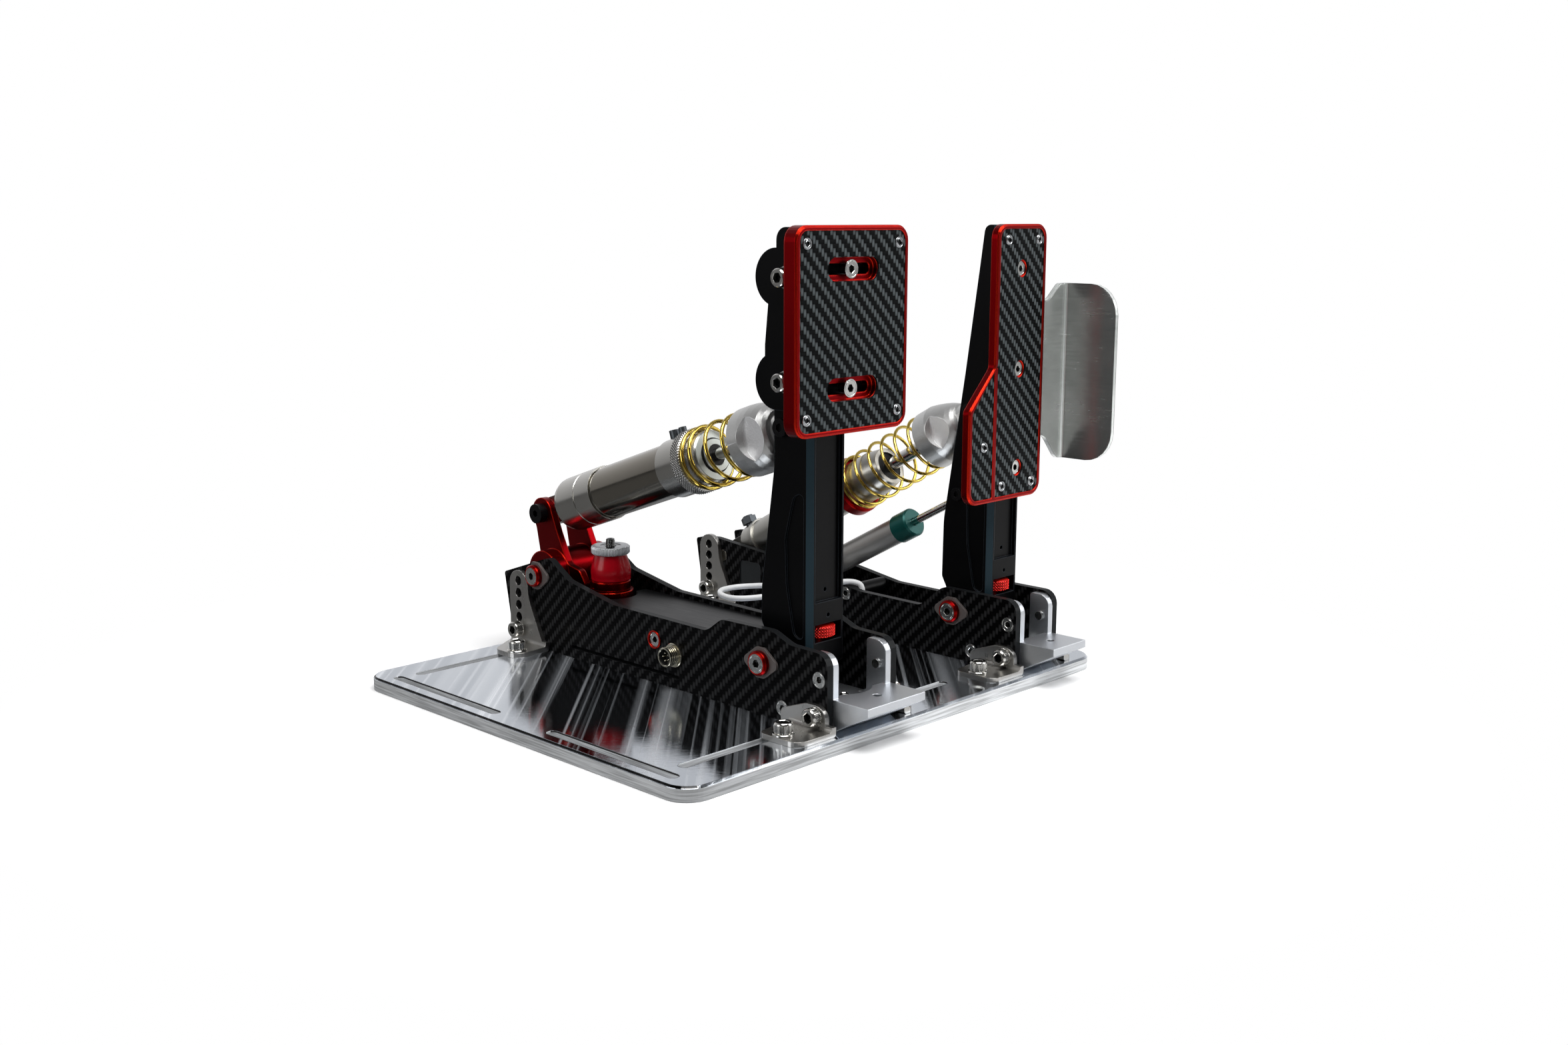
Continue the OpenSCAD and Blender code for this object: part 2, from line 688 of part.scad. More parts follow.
// Standoffs between the side plates
module standoffs() {
  color("silver") for (m = [[brake_x, brake_in], [throttle_x, throttle_in]]) difference() {
    for (p = [marker, [rear_hole_y, rear_holes[4]]])
      bar(m[0] - m[1], 2 * m[1], side_head_r + 0.6, p.x, p.y);
    bar(m[0] - m[1] - 1, 2 * m[1] + 2, side_screw_r, marker.x, marker.y);
  }
}

// Places for the pivot screws: a point on the outer face of each plate, its side, and the
// length of the boss plate towards the rear
rocker_boss_l = 6.8;
pivots = [for (m = modules) for (s = [-1, 1]) [m[0] + s * m[1], pivot_y, pivot_z, s, boss_l],
  for (s = [-1, 1]) [brake_x + s * brake_w / 2, rocker_y, rocker_z, s, rocker_boss_l]];

module boss_plates() {
  color("dimgray") for (p = pivots) facing_side(p[0], p[1], p[2], p[3]) difference() {
    linear_extrude(boss_t) polygon(outline([
      [0, -boss_l, 3], [boss_w, -3, 3], [boss_w, 3, 1], [0, p[4], 3], [-boss_w, 3, 1], [-boss_w, -3, 3]]));
    translate([0, 0, -1]) cylinder(h = boss_t + 2, r = side_screw_r + 0.5);
  }
}

module cup_washers() {
  color("firebrick") for (p = pivots) facing_side(p[0] + p[3] * boss_t, p[1], p[2], p[3])
    difference() {
      union() {
        cylinder(h = cup_t - 1, r = cup_r);
        translate([0, 0, cup_t - 1]) cylinder(h = 1, r1 = cup_r, r2 = cup_r - 1);
      }
      translate([0, 0, cup_t]) flat_body(cup_t + 1, pivot_head_r, side_screw_r + 0.5);
    }
  color("firebrick") facing_side(brake_x - brake_w / 2, marker.x, marker.y, -1)
    difference() {
      cylinder(h = 0.8, r = side_head_r + 0.9);
      translate([0, 0, -1]) cylinder(h = 3, r = side_head_r);
    }
}

module pivot_screws() {
  color("silver") for (p = pivots) facing_side(p[0] + p[3] * (boss_t + cup_t), p[1], p[2], p[3])
    flat_screw(boss_t + cup_t + 12, pivot_head_r, side_screw_r + 0.5);
}

module side_screws() {
  color("silver") for (m = modules, s = [-1, 1], p = [bolt_a, bolt_b, marker])
    facing_side(m[0] + s * m[1], p.x, p.y, s) flat_screw(10, side_head_r, side_screw_r);
}

// Axles of the pedals and the rocker, and the rear pins of the dampers
module axle(x, half, y, z, r) {
  difference() {
    bar(x - half, 2 * half, r, y, z);
    for (s = [-1, 1]) bar(s < 0 ? x - half - 1 : x + half - 12, 13, side_screw_r + 0.5, y, z);
  }
}

module spacer_pair(x, inner, outer, y, z, r, bore) {
  for (s = [-1, 1]) difference() {
    bar(s < 0 ? x - outer : x + inner, outer - inner, r, y, z);
    bar(x - outer - 1, 2 * outer + 2, bore + fit, y, z);
  }
}

module pivot_axles() {
  gap = 0.3;
  color("silver") {
    axle(brake_x, brake_w / 2, pivot_y, pivot_z, axle_r);
    axle(throttle_x, throttle_w / 2, pivot_y, pivot_z, axle_r);
    axle(brake_x, brake_w / 2, rocker_y, rocker_z, rocker_axle_r);
    bar(throttle_x - throttle_w / 2, throttle_w, pin_r, damp_rear_y, damp_rear_z);
    bar(throttle_x - throttle_w / 2, throttle_w, slim_pin_r, slim_rear_y, slim_rear_z);
    spacer_pair(brake_x, arm_half + gap, brake_in, pivot_y, pivot_z, axle_r + 3.5, axle_r);
    spacer_pair(throttle_x, arm_half + gap, throttle_in, pivot_y, pivot_z, axle_r + 3.5, axle_r);
    spacer_pair(throttle_x, tang_half + gap, throttle_in, damp_rear_y, damp_rear_z, pin_r + 2.5, pin_r);
    spacer_pair(throttle_x, slim_eye + gap, throttle_in, slim_rear_y, slim_rear_z,
      slim_pin_r + 2.5, slim_pin_r);
  }
}

// Round socket in the left brake plate, with its pins
module lead_socket() {
  outer = brake_x - brake_w / 2;
  color("khaki") facing_side(outer, socket.x, socket.y, -1) {
    difference() {
      union() {
        translate([0, 0, -plate_t - 6]) cylinder(h = plate_t + 6, r = socket_r);
        cylinder(h = 1.6, r = socket_r + 1);
        cylinder(h = 8, r = socket_r - 0.4);
      }
      translate([0, 0, 3]) cylinder(h = 6, r = socket_r - 1.5);
    }
    for (i = [0:4]) rotate([0, 0, 72 * i]) translate([2.4, 0, 2.9]) cylinder(h = 4, r = 0.5);
  }
}

// Panel over the sensor, seated in the window of the left throttle plate
module sensor_cover() {
  color([0.35, 0.38, 0.4]) upright(throttle_x - throttle_w / 2 + 0.6, plate_t - 0.6)
    polygon(rounded_box(panel[0], panel[1], panel[2], panel[3], 3));
}

// Sensor lead: a loop beside the throttle module, its two ends clamped at a standoff
lead_r = 1.8;
lead_points = [
  [7, -2.4, 33.6], [7, -2.8, 36.6], [6.2, -1, 39.8], [2.4, 3.6, 41.2], [-2.4, 8.6, 40.6],
  [-4, 20, 37], [-5, 50, 32.5], [-12, 73, 29.5], [-22, 84, 28.4], [-34, 85, 28],
  [-43, 75, 28], [-43, 62, 28], [-32, 51, 28.8], [-17, 38, 32], [-6, 26, 39],
  [-2, 20.5, 43], [3.4, 20, 43.7], [7, 19.6, 40.9], [7.2, 16.5, 36.2], [7, 12.5, 33.6]];
function smooth(p, n) =
  let (q = concat([p[0]], p, [p[len(p) - 1]]))
  concat([for (i = [1:len(p) - 1]) for (k = [0:n - 1]) let (t = k / n)
    (q[i] * (2 - 5 * t * t + 3 * t * t * t) + q[i - 1] * (-t + 2 * t * t - t * t * t)
      + q[i + 1] * (t + 4 * t * t - 3 * t * t * t) + q[i + 2] * (t * t * t - t * t)) / 2],
    [p[len(p) - 1]]);

module sensor_lead() {
  color("white") translate([throttle_x - throttle_w / 2, 0, 0])
    swept(smooth(lead_points, 3), lead_r, 8, [0.05, -0.1, 1]);
}

// Load cell between the brake plates, with the stud that pulls it upwards
cell_half = [16, 16.5];
cell_top = base_t + 30;
elastomer_z = cup_seat_z + cup_h;
nut_z = elastomer_z + elastomer_h;
stud_top = nut_z + nut_t + 4.2;

module load_cell() {
  color("slategray") difference() {
    translate([brake_x - cell_half.x, stud_y - cell_half.y, base_t])
      cube([2 * cell_half.x, 2 * cell_half.y, cell_top - base_t]);
    for (s = [-1, 1]) bar(brake_x - cell_half.x - 1, 2 * cell_half.x + 2, 5, stud_y + 6 * s, base_t + 13);
    translate([brake_x, stud_y, cell_top - 10]) cylinder(h = 20, r = stud_r);
  }
}

module elastomer_stud() {
  color("silver") translate([brake_x, stud_y, 0]) difference() {
    union() {
      translate([0, 0, cell_top - 10]) cylinder(h = stud_top - cell_top + 10, r = stud_r);
      translate([0, 0, cell_top]) cylinder(h = 2.4, r = stud_r + 2.2, $fn = 6);
    }
    translate([0, 0, stud_top - 2]) cylinder(h = 4, r = stud_r * 0.5, $fn = 6);
  }
}

module preload_nut() {
  color("dimgray") translate([brake_x, stud_y, nut_z]) difference() {
    union() {
      cylinder(h = nut_t - 0.6, r = nut_r);
      translate([0, 0, nut_t - 0.6]) cylinder(h = 0.6, r1 = nut_r, r2 = nut_r - 0.6);
    }
    translate([0, 0, -1]) cylinder(h = nut_t + 2, r = stud_r + fit);
  }
}

// Red cup that the rocker lifts, and the elastomer that it squeezes
cup_bore = stud_r + 1.2;
module elastomer_cup() {
  r = elastomer_r - 0.4;
  color("firebrick") translate([brake_x, stud_y, 0]) rotate_extrude() polygon([
    [cup_bore, cup_seat_z], [r - 0.6, cup_seat_z], [r, cup_seat_z + 0.6], [r, elastomer_z - 0.6],
    [r - 0.6, elastomer_z], [cup_bore, elastomer_z]]);
}

module elastomer() {
  bore = stud_r + 0.6;
  color("red") translate([brake_x, stud_y, 0]) rotate_extrude() polygon(outline([
    [bore, elastomer_z, 0], [elastomer_r - 0.3, elastomer_z, 0],
    [elastomer_r, elastomer_z + elastomer_h * 0.46, 3], [elastomer_r * 0.76, nut_z, 0], [bore, nut_z, 0]]));
}

// Rocker: two cheeks round the tang of the cylinder, joined by a hub and a forward plate
module cheek(x) {
  upright(x, cheek_t) polygon(outline([
    [stud_y + 8, cup_seat_z - rocker_plate_t, 2], [stud_y + 8.5, cup_seat_z + 4, 3], [90, 58.6, 5], [101.5, 60.6, 6],
    [111, 79, 30], [cyl_rear_y - 8.6, cyl_rear_z + 3.6, 0], [cyl_rear_y, cyl_rear_z, 0],
    [cyl_rear_y + 8, cyl_rear_z - 5, 0], [131.8, 80, 10], [rocker_y + 13, 60, 4],
    [rocker_y, rocker_z - 11.7, 3]]));
  bar(x, cheek_t, tang_r + 1, cyl_rear_y, cyl_rear_z);
}

module rocker() {
  hub_half = brake_in - 0.4;
  color("firebrick") difference() {
    union() {
      cheek(brake_x - cheek_out);
      cheek(brake_x + cheek_in);
      bar(brake_x - hub_half, 2 * hub_half, hub_r, rocker_y, rocker_z);
      translate([brake_x, 0, cup_seat_z - rocker_plate_t]) linear_extrude(rocker_plate_t)
        polygon(outline([[-cheek_out, rocker_y - 4, 0], [cheek_out, rocker_y - 4, 0],
          [cheek_out, stud_y - cheek_out, cheek_out - 0.1],
          [-cheek_out, stud_y - cheek_out, cheek_out - 0.1]]));
    }
    bar(brake_x - hub_half - 1, 2 * hub_half + 2, rocker_axle_r + fit, rocker_y, rocker_z);
    bar(brake_x - cheek_out - 1, 2 * cheek_out + 2, pin_r, cyl_rear_y, cyl_rear_z);
    translate([brake_x, stud_y, 0]) cylinder(h = 90, r = cup_bore);
  }
}

module rocker_pin() {
  color([0.1, 0.1, 0.1]) {
    bar(brake_x - cheek_out, 2 * cheek_out, pin_r, cyl_rear_y, cyl_rear_z);
    for (s = [-1, 1]) facing_side(brake_x + s * cheek_out, cyl_rear_y, cyl_rear_z, s) difference() {
      cylinder(h = 5.3, r = 6);
      translate([0, 0, 3]) cylinder(h = 4, r = 2.4, $fn = 6);
    }
  }
}

// Eye round a cross pin at the local origin, running up to a station
module eye(half, r, end) {
  bar(-half, 2 * half, r, 0, 0);
  translate([-half, -r, 0]) cube([2 * half, 2 * r, end]);
}

module cross_bore(r) {
  bar(-40, 80, r, 0, 0);
}

// Parts of the brake cylinder
module cylinder_cap() {
  color("silver") on_cylinder() difference() {
    union() {
      rotate_extrude() polygon(outline([
        [0, cap_s[0], 0], [cap_r, cap_s[0], 6], [cap_r, 37.1, 0], [cap_r - 0.6, 37.4, 0],
        [cap_r - 0.6, 38, 0], [cap_r, 38.3, 0], [cap_r, cap_s[1] - 1.5, 0],
        [tube_r - 0.8, cap_s[1] - 1.5, 0], [tube_r - 0.8, cap_s[1], 0], [0, cap_s[1], 0]]));
      eye(tang_half, tang_r, cap_s[0] + 4);
    }
    cross_bore(pin_r + fit);
  }
}

module cylinder_tube() {
  color("gray") on_cylinder(cap_s[1]) difference() {
    cylinder(h = tube_s - cap_s[1], r = tube_r);
    translate([0, 0, -1]) cylinder(h = tube_s - cap_s[1] + 2, r = tube_r - 3.5);
  }
}

module cylinder_sleeve() {
  color("silver") on_cylinder() rotate_extrude() polygon([
    [bush_r - 2, tube_s], [sleeve_r, tube_s], [sleeve_r, ring_s[0]], [sleeve_in_r, ring_s[0]],
    [sleeve_in_r, inner_s - 0.8], [sleeve_in_r - 0.8, inner_s], [bush_r, inner_s],
    [bush_r, bush_s[0]], [bush_r - 2, bush_s[0]]]);
}

module cylinder_seal() {
  color("dimgray") on_cylinder() rotate_extrude() polygon([
    [rod_r + fit, bush_s[0]], [bush_r, bush_s[0]], [bush_r, bush_s[1] - 0.6],
    [bush_r - 0.6, bush_s[1]], [rod_r + fit, bush_s[1]]]);
}

module cylinder_fittings() {
  color("silver") on_cylinder() for (f = [[122.5, 3], [130, 2.3]])
    translate([0, sleeve_r - 1, f[0]]) rotate([-90, 0, 0]) difference() {
      cylinder(h = 5.6, r = f[1]);
      translate([0, 0, 4]) cylinder(h = 4, r = f[1] * 0.5, $fn = 6);
      rotate([90, 0, 0]) translate([0, 1 - sleeve_r, -9]) cylinder(h = 18, r = sleeve_r);
    }
}

module spring_ring() {
  color("dimgray") on_cylinder() rotate_extrude() polygon([
    [sleeve_in_r + fit, ring_s[0] + 0.1], [ring_r - 0.8, ring_s[0] + 0.1], [ring_r, ring_s[0] + 0.9],
    [ring_r, ring_s[1] - 0.8], [ring_r - 0.8, ring_s[1]], [sleeve_in_r + fit, ring_s[1]]]);
}

brake_turns = [
  [-0.15, ring_s[1] + brake_wire / 2], [0.52, 143.2], [1.52, 150.2], [2.52, 164.6], [3.52, 178.7],
  [4.15, knob_s - brake_wire / 2]];
brake_coil = coil(brake_turns, brake_coil_r, brake_wire);
echo(brake_spring_gap = coil_gap(brake_coil, brake_wire));

module brake_spring() {
  color("gold") on_cylinder() swept(brake_coil, brake_wire / 2);
}

rod_in = 22;
module cylinder_rod() {
  color("white") on_cylinder(bush_s[0] - 40) cylinder(h = knob_s + rod_in - bush_s[0] + 40, r = rod_r);
}

// Clevis knob: a domed head with a milled flat each side and a tang round the front pin
module clevis_knob(s0, straight, r, neck, len, flat, wide, rod, bulge) {
  deep = neck - straight;
  dome = [for (a = [15:15:75])
    [neck_r + (r - neck_r) * (bulge * cos(a) + (1 - bulge) * (1 - sin(a))), straight + deep * sin(a)]];
  difference() {
    intersection() {
      union() {
        rotate_extrude() polygon(concat([[rod, s0], [r - 0.8, s0], [r, s0 + 0.8], [r, straight]],
          dome, [[neck_r, neck], [neck_r, len], [0, len], [0, s0 + rod_in], [rod, s0 + rod_in]]));
        translate([0, 0, len]) bar(-neck_r, 2 * neck_r, neck_r, 0, 0);
      }
      union() {
        translate([-r - 1, -40, s0 - 1]) cube([2 * r + 2, 80, neck - s0 + 1]);
        translate([-flat, -40, s0]) cube([2 * flat, 80, len + 40 - s0]);
      }
    }
    for (side = [-1, 1])
      translate([side * (wide + 10), 0, straight + mill_r]) rotate([0, 90, 0])
        cylinder(h = 20, r = mill_r, center = true);
    translate([0, 0, len]) cross_bore(pin_r + open_fit);
  }
}

module cylinder_knob() {
  color("silver") on_cylinder()
    clevis_knob(knob_s, 191, knob_r, neck_s, cyl_len, knob_flat, 14.2, rod_r, 1);
}

// Parts of the throttle damper
module damper_tube() {
  color("gray") on_damper() difference() {
    union() {
      eye(tang_half, tang_r, damp_cap_s[0] + 2);
      rotate_extrude() polygon([
        [0, damp_cap_s[0]], [damp_r - 1.4, damp_cap_s[0]], [damp_r + 0.2, damp_cap_s[0] + 2],
        [damp_r + 0.2, damp_cap_s[1]], [damp_body_r, damp_cap_s[1]], [damp_body_r, damp_cap_s[1] + 3.3],
        [damp_r, damp_cap_s[1] + 3.3], [damp_r, collar_s[1]], [damp_body_r, collar_s[1]],
        [damp_body_r, 140], [12, damp_nose_s], [9.4, damp_nose_s], [9.4, damp_nose_s - 6],
        [damp_rod_r + fit, damp_nose_s - 6], [damp_rod_r + fit, damp_bush_s], [10, damp_bush_s],
        [10, damp_cap_s[1] + 6], [0, damp_cap_s[1] + 6]]);
    }
    cross_bore(pin_r + fit);
  }
}

module damper_collar() {
  color("firebrick") on_damper() rotate_extrude() polygon([
    [damp_r, collar_s[0]], [collar_r - 1, collar_s[0]], [collar_r, collar_s[0] + 1],
    [collar_r, collar_s[1] - 1], [collar_r - 1, collar_s[1]], [damp_r, collar_s[1]]]);
}

module damper_fitting() {
  color("silver") on_damper(15.6) rotate([-90, 0, 0]) difference() {
    union() {
      cylinder(h = damp_r + 4.4, r = 3.2);
      translate([0, 0, damp_r + 1.4]) cylinder(h = 4.6, r = 5.4, $fn = 6);
      translate([0, 0, damp_r + 6]) cylinder(h = 1, r = 3.4);
    }
    rotate([90, 0, 0]) cylinder(h = 30, r = damp_r + 0.2, center = true);
  }
}

module damper_rod() {
  color("white") on_damper(damp_bush_s - 30) cylinder(h = damp_knob_s + rod_in - damp_bush_s + 30, r = damp_rod_r);
}

module damper_knob() {
  color("silver") on_damper()
    clevis_knob(damp_knob_s, 203, damp_knob_r, damp_neck_s, damp_len, damp_knob_flat, 13.6, damp_rod_r,
      0.5);
}

throttle_turns = [
  [-0.1, collar_s[1] + throttle_wire / 2], [0.52, 124.4], [1.52, 127.6], [2.52, 139.5], [3.52, 152.8],
  [4.52, 164.7], [5.52, 177], [6.52, 189.2], [7.1, damp_knob_s - throttle_wire / 2]];
throttle_coil = coil(throttle_turns, throttle_coil_r, throttle_wire);
echo(throttle_spring_gap = coil_gap(throttle_coil, throttle_wire));

module throttle_spring() {
  color("gold") on_damper() swept(throttle_coil, throttle_wire / 2);
}

// Parts of the slim damper
module slim_damper() {
  color("gray") on_slim() difference() {
    union() {
      eye(slim_eye, slim_eye_r, 12);
      rotate_extrude() polygon([
        [0, 9], [slim_r - 1, 9], [slim_r, 10], [slim_r, slim_cap_s[0]], [slim_r - 2, slim_cap_s[0]],
        [slim_r - 2, 14], [0, 14]]);
    }
    cross_bore(slim_pin_r + fit);
  }
}

module slim_damper_cap() {
  cap_out = slim_r + 1;
  color("teal") on_slim() rotate_extrude() polygon([
    [slim_rod_r + fit, slim_cap_s[0]], [cap_out, slim_cap_s[0]], [cap_out, slim_cap_s[1] - 1],
    [cap_out - 1, slim_cap_s[1]], [slim_rod_r + fit, slim_cap_s[1]]]);
}

module slim_damper_rod() {
  color("white") on_slim() difference() {
    union() {
      translate([0, 0, 72]) cylinder(h = slim_len - 72, r = slim_rod_r);
      translate([0, 0, slim_len - 19]) cylinder(h = 14, r = 4.2, $fn = 6);
      translate([0, 0, slim_len]) bar(-slim_eye, 2 * slim_eye, slim_eye_r, 0, 0);
    }
    translate([0, 0, slim_len]) cross_bore(slim_pin_r + open_fit);
  }
}

// Pedal arms: a profile in y and z, hollowed by pockets and slots
module arm(x, top, rear) {
  reach = arm_front_y - 1;
  pocket = arm_half - arm_wall;
  difference() {
    union() {
      upright(x - arm_half, arm_w) polygon(outline(concat([
        [arm_rear_y, 56, 5], [pivot_y + 7.5, 46, 4], [pivot_y + 7, pivot_z, 0], [pivot_y, 25, 0],
        [pivot_y - 12, 29.4, 4], [arm_front_y, 37, 4], [arm_front_y, top, 3]], rear)));
      bar(x - arm_half, arm_w, lobe_r, pivot_y, pivot_z);
    }
    bar(x - arm_half - 1, arm_w + 2, axle_r + fit, pivot_y, pivot_z);
    for (s = [-1, 1]) translate([x + s * arm_half, arm_front_y, 20]) rotate([0, 0, 45])
      cube([arm_chamfer * sqrt(2), arm_chamfer * sqrt(2), 600], center = true);
    translate([x - pocket, reach, 70.4]) cube([2 * pocket, arm_pocket + 1, top]);
    translate([x - window_half, reach, wheel_z - window_z])
      cube([2 * window_half, wheel_r * 2 + 0.8, 2 * window_z]);
    translate([x, wheel_y, wheel_z - 13]) cylinder(h = 26, r = spindle_r + fit);
    for (z = [62.8, 76.3]) stud_y_bar(x, reach, z, 9, 1.2, 1.2);
    for (s = [-1, 1]) upright(s < 0 ? x - arm_half - 1 : x + arm_half - 1.2, 2.2)
      polygon(outline([[-99.5, 50, 3], [-99.5, 130, 3], [-92, 127, 5], [-86, 104, 16],
        [-87, 78, 30], [-92.6, 51, 5]]));
  }
}

module fork_slot(x, half, deep_y, z0, z1) {
  translate([x - half, deep_y, z0]) cube([2 * half, 60, z1 - z0]);
}

module brake_arm() {
  color([0.13, 0.13, 0.14]) difference() {
    arm(brake_x, brake_arm_top, [[-84.2, brake_arm_top, 6], [-78, 177, 20], [-78, 141, 30],
      [arm_rear_y - 0.2, arm_foot_z, 20]]);
    fork_slot(brake_x, knob_flat + 0.4, cyl_front_y - neck_r - 1.4, 144, 183);
    bar(brake_x - arm_half - 1, arm_w + 2, pin_r, cyl_front_y, cyl_front_z);
    for (z = lobe_z) bar(brake_x - arm_half - 1, arm_w + 2, shank_r, carrier_bolt_y, z);
  }
}

module thumbwheel(x) {
  low = wheel_z - wheel_t / 2;
  color("firebrick") translate([x, wheel_y, 0]) {
    translate([0, 0, low]) cylinder(h = wheel_t, r = wheel_r);
    translate([0, 0, wheel_z - 12.6]) cylinder(h = 25.2, r = spindle_r);
  }
}

module brake_thumbwheel() {
  thumbwheel(brake_x);
}

module throttle_thumbwheel() {
  thumbwheel(throttle_x);
}

// Black carrier between the brake arm and its face
carrier_top = face_top_z - 1.1;
module carrier_side(x) {
  front = brake_face_y + brake_face_t;
  upright(x, carrier_t) union() {
    polygon(outline([[front, carrier_low, 3], [front, carrier_top, 2], [-84.2, carrier_top, 6.5],
      [-84.2, lobe_z[0] + 8, 0], [-78.4, lobe_z[0] - 13, 8], [-76, lobe_z[1] + 18.6, 8],
      [-76, lobe_z[1] - 3.4, 0], [carrier_lobe[0], carrier_low, 0]]));
    for (z = lobe_z) translate([carrier_lobe[0], z]) circle(carrier_lobe[1]);
  }
}

module brake_carrier() {
  front = brake_face_y + brake_face_t;
  color([0.1, 0.1, 0.11]) difference() {
    union() {
      carrier_side(brake_x - arm_half - carrier_t);
      carrier_side(brake_x + arm_half);
      translate([brake_x - arm_half - 1, front, carrier_low])
        cube([arm_w + 2, carrier_rear_y - front, carrier_top - carrier_low]);
    }
    for (z = lobe_z) bar(brake_x - 40, 80, shank_r, carrier_bolt_y, z);
    for (z = brake_slots) stud_y_bar(brake_x, front - 1, z, 9, side_screw_r, side_screw_r);
  }
}

module carrier_screws() {
  color("silver") for (s = [-1, 1], z = lobe_z)
    facing_side(brake_x + s * (arm_half + carrier_t), carrier_bolt_y, z, s) {
      cylinder(h = 1, r = 5.8);
      translate([0, 0, 1]) cap_screw(carrier_t + 9, head_r, 4.4);
    }
}

// A clevis pin with a round cap on each side of an arm
module clevis_pin(x, y, z, r, cap) {
  difference() {
    union() {
      bar(x - arm_half, arm_w, r, y, z);
      for (s = [-1, 1]) facing_side(x + s * arm_half, y, z, s) cylinder(h = 2.7, r = cap);
    }
    for (s = [-1, 1]) facing_side(x + s * arm_half, y, z, s)
      translate([0, 0, 1.2]) cylinder(h = 3, r = cap * 0.5, $fn = 6);
  }
}

module brake_clevis_pin() {
  color([0.1, 0.1, 0.1]) clevis_pin(brake_x, cyl_front_y, cyl_front_z, pin_r, pin_r + 0.9);
}

// Brake face: an aluminium plate with a recessed inlay and two adjusting slots
module brake_window(grow = 0) {
  half = brake_face_w / 2 - rim_w + grow;
  polygon(rounded_box(brake_face_x - half, brake_bottom + rim_w - grow, brake_face_x + half,
    face_top_z - rim_w + grow, face_r - rim_w + grow));
}

module slots_across(x, r, half) {
  for (z = brake_slots) polygon(rounded_box(x - half, z - r, x + half, z + r, r - 0.05));
}

brake_corner_x = 34.7;
brake_corner_z = [face_top_z - 9, brake_bottom + 9.3];
button_r = 3.1;

module brake_face() {
  color("firebrick") difference() {
    union() {
      facing(brake_face_y + 1, brake_face_t - 1) brake_window(rim_w);
      facing(brake_face_y, 1.1) brake_window(rim_w - 0.8);
    }
    facing(brake_face_y - 1, inlay_t + 1) brake_window();
    facing(brake_face_y - 1, inlay_t + 4) slots_across(brake_face_x, brake_slot_r, brake_slot_half);
    facing(brake_face_y - 1, brake_face_t + 2)
      slots_across(brake_face_x, side_screw_r + 0.4, brake_slot_half - 3);
    for (s = [-1, 1], z = brake_corner_z)
      stud_y_bar(brake_face_x + s * brake_corner_x, brake_face_y, z, 7, 1.5, 1.5);
  }
}

module brake_inlay() {
  color([0.1, 0.1, 0.1]) difference() {
    facing(brake_face_y + inlay_low, inlay_t - inlay_low) brake_window();
    facing(brake_face_y - 1, 6) slots_across(brake_face_x, brake_slot_r, brake_slot_half);
    for (s = [-1, 1], z = brake_corner_z)
      stud_y_bar(brake_face_x + s * brake_corner_x, brake_face_y, z, 7, 1.5, 1.5);
  }
}

// Small button screw on a face, its head towards the driver
module button_screw(x, y, z, r, shank) {
  translate([x, y, z]) rotate([90, 0, 0]) difference() {
    union() {
      cylinder(h = 0.4, r = r);
      translate([0, 0, 0.4]) cylinder(h = 0.4, r1 = r, r2 = r - 0.5);
      translate([0, 0, -shank]) cylinder(h = shank, r = 1.5);
    }
    translate([0, 0, 0.2]) cylinder(h = 2, r = r * 0.42, $fn = 6);
  }
}

module brake_face_screws() {
  seat = brake_face_y + inlay_t + 3;
  color("silver") {
    for (s = [-1, 1], z = brake_corner_z)
      button_screw(brake_face_x + s * brake_corner_x, brake_face_y + inlay_low, z, button_r, 6);
    for (z = brake_slots) translate([brake_x, seat, z]) rotate([90, 0, 0]) difference() {
      union() {
        cylinder(h = 3, r = 4.9);
        translate([0, 0, -8]) cylinder(h = 8, r = side_screw_r);
      }
      translate([0, 0, 1]) cylinder(h = 3, r = 2.2, $fn = 6);
    }
  }
}

// Throttle arm with forks for the damper and the slim damper
module throttle_arm() {
  color([0.13, 0.13, 0.14]) difference() {
    arm(throttle_x, throttle_arm_top, [[-95.2, throttle_arm_top, 4.5], [-91.9, throttle_arm_top - 24.1, 40],
      [-83, 180.7, 60], [-69, 91, 60]]);
    fork_slot(throttle_x, damp_knob_flat + 0.4, damp_front_y - neck_r - 1.4, 131, 184);
    fork_slot(throttle_x, slim_eye + 0.4, slim_front_y - slim_eye_r - 1.4, 90, 124);
    bar(throttle_x - arm_half - 1, arm_w + 2, pin_r, damp_front_y, damp_front_z);
    bar(throttle_x - arm_half - 1, arm_w + 2, slim_pin_r, slim_front_y, slim_front_z);
    for (z = throttle_bolts) stud_y_bar(throttle_x, arm_front_y - 1, z, 8.5, side_screw_r, side_screw_r);
  }
}

module throttle_clevis_pins() {
  color([0.1, 0.1, 0.1]) {
    clevis_pin(throttle_x, damp_front_y, damp_front_z, pin_r, pin_r + 0.9);
    clevis_pin(throttle_x, slim_front_y, slim_front_z, slim_pin_r, slim_pin_r + 0.9);
  }
}

// Throttle face: a plate with two recessed inlays beside a rib
module throttle_shape(in) {
  polygon(outline([
    [throttle_low_left + in, throttle_bottom + in, face_r - in],
    [throttle_low_left + in, slant_z[0] - in * 0.4, 5],
    [throttle_left + in, slant_z[1] + in * 0.6, 5], [throttle_left + in, face_top_z - in, face_r - in],
    [throttle_right - in, face_top_z - in, face_r - in],
    [throttle_right - in, throttle_bottom + in, face_r - in]]));
}

module inlay_windows() {
  difference() {
    throttle_shape(rim_w);
    translate([rib_left, 0]) square([rim_w + 0.2, slant_z[1]]);
  }
}

throttle_stand = [-14.3, 14.7, -33, -15.4, 13.6];
throttle_stand_z = [for (d = [8.9, 8.9, 126.4, 151, 151]) face_top_z - d];

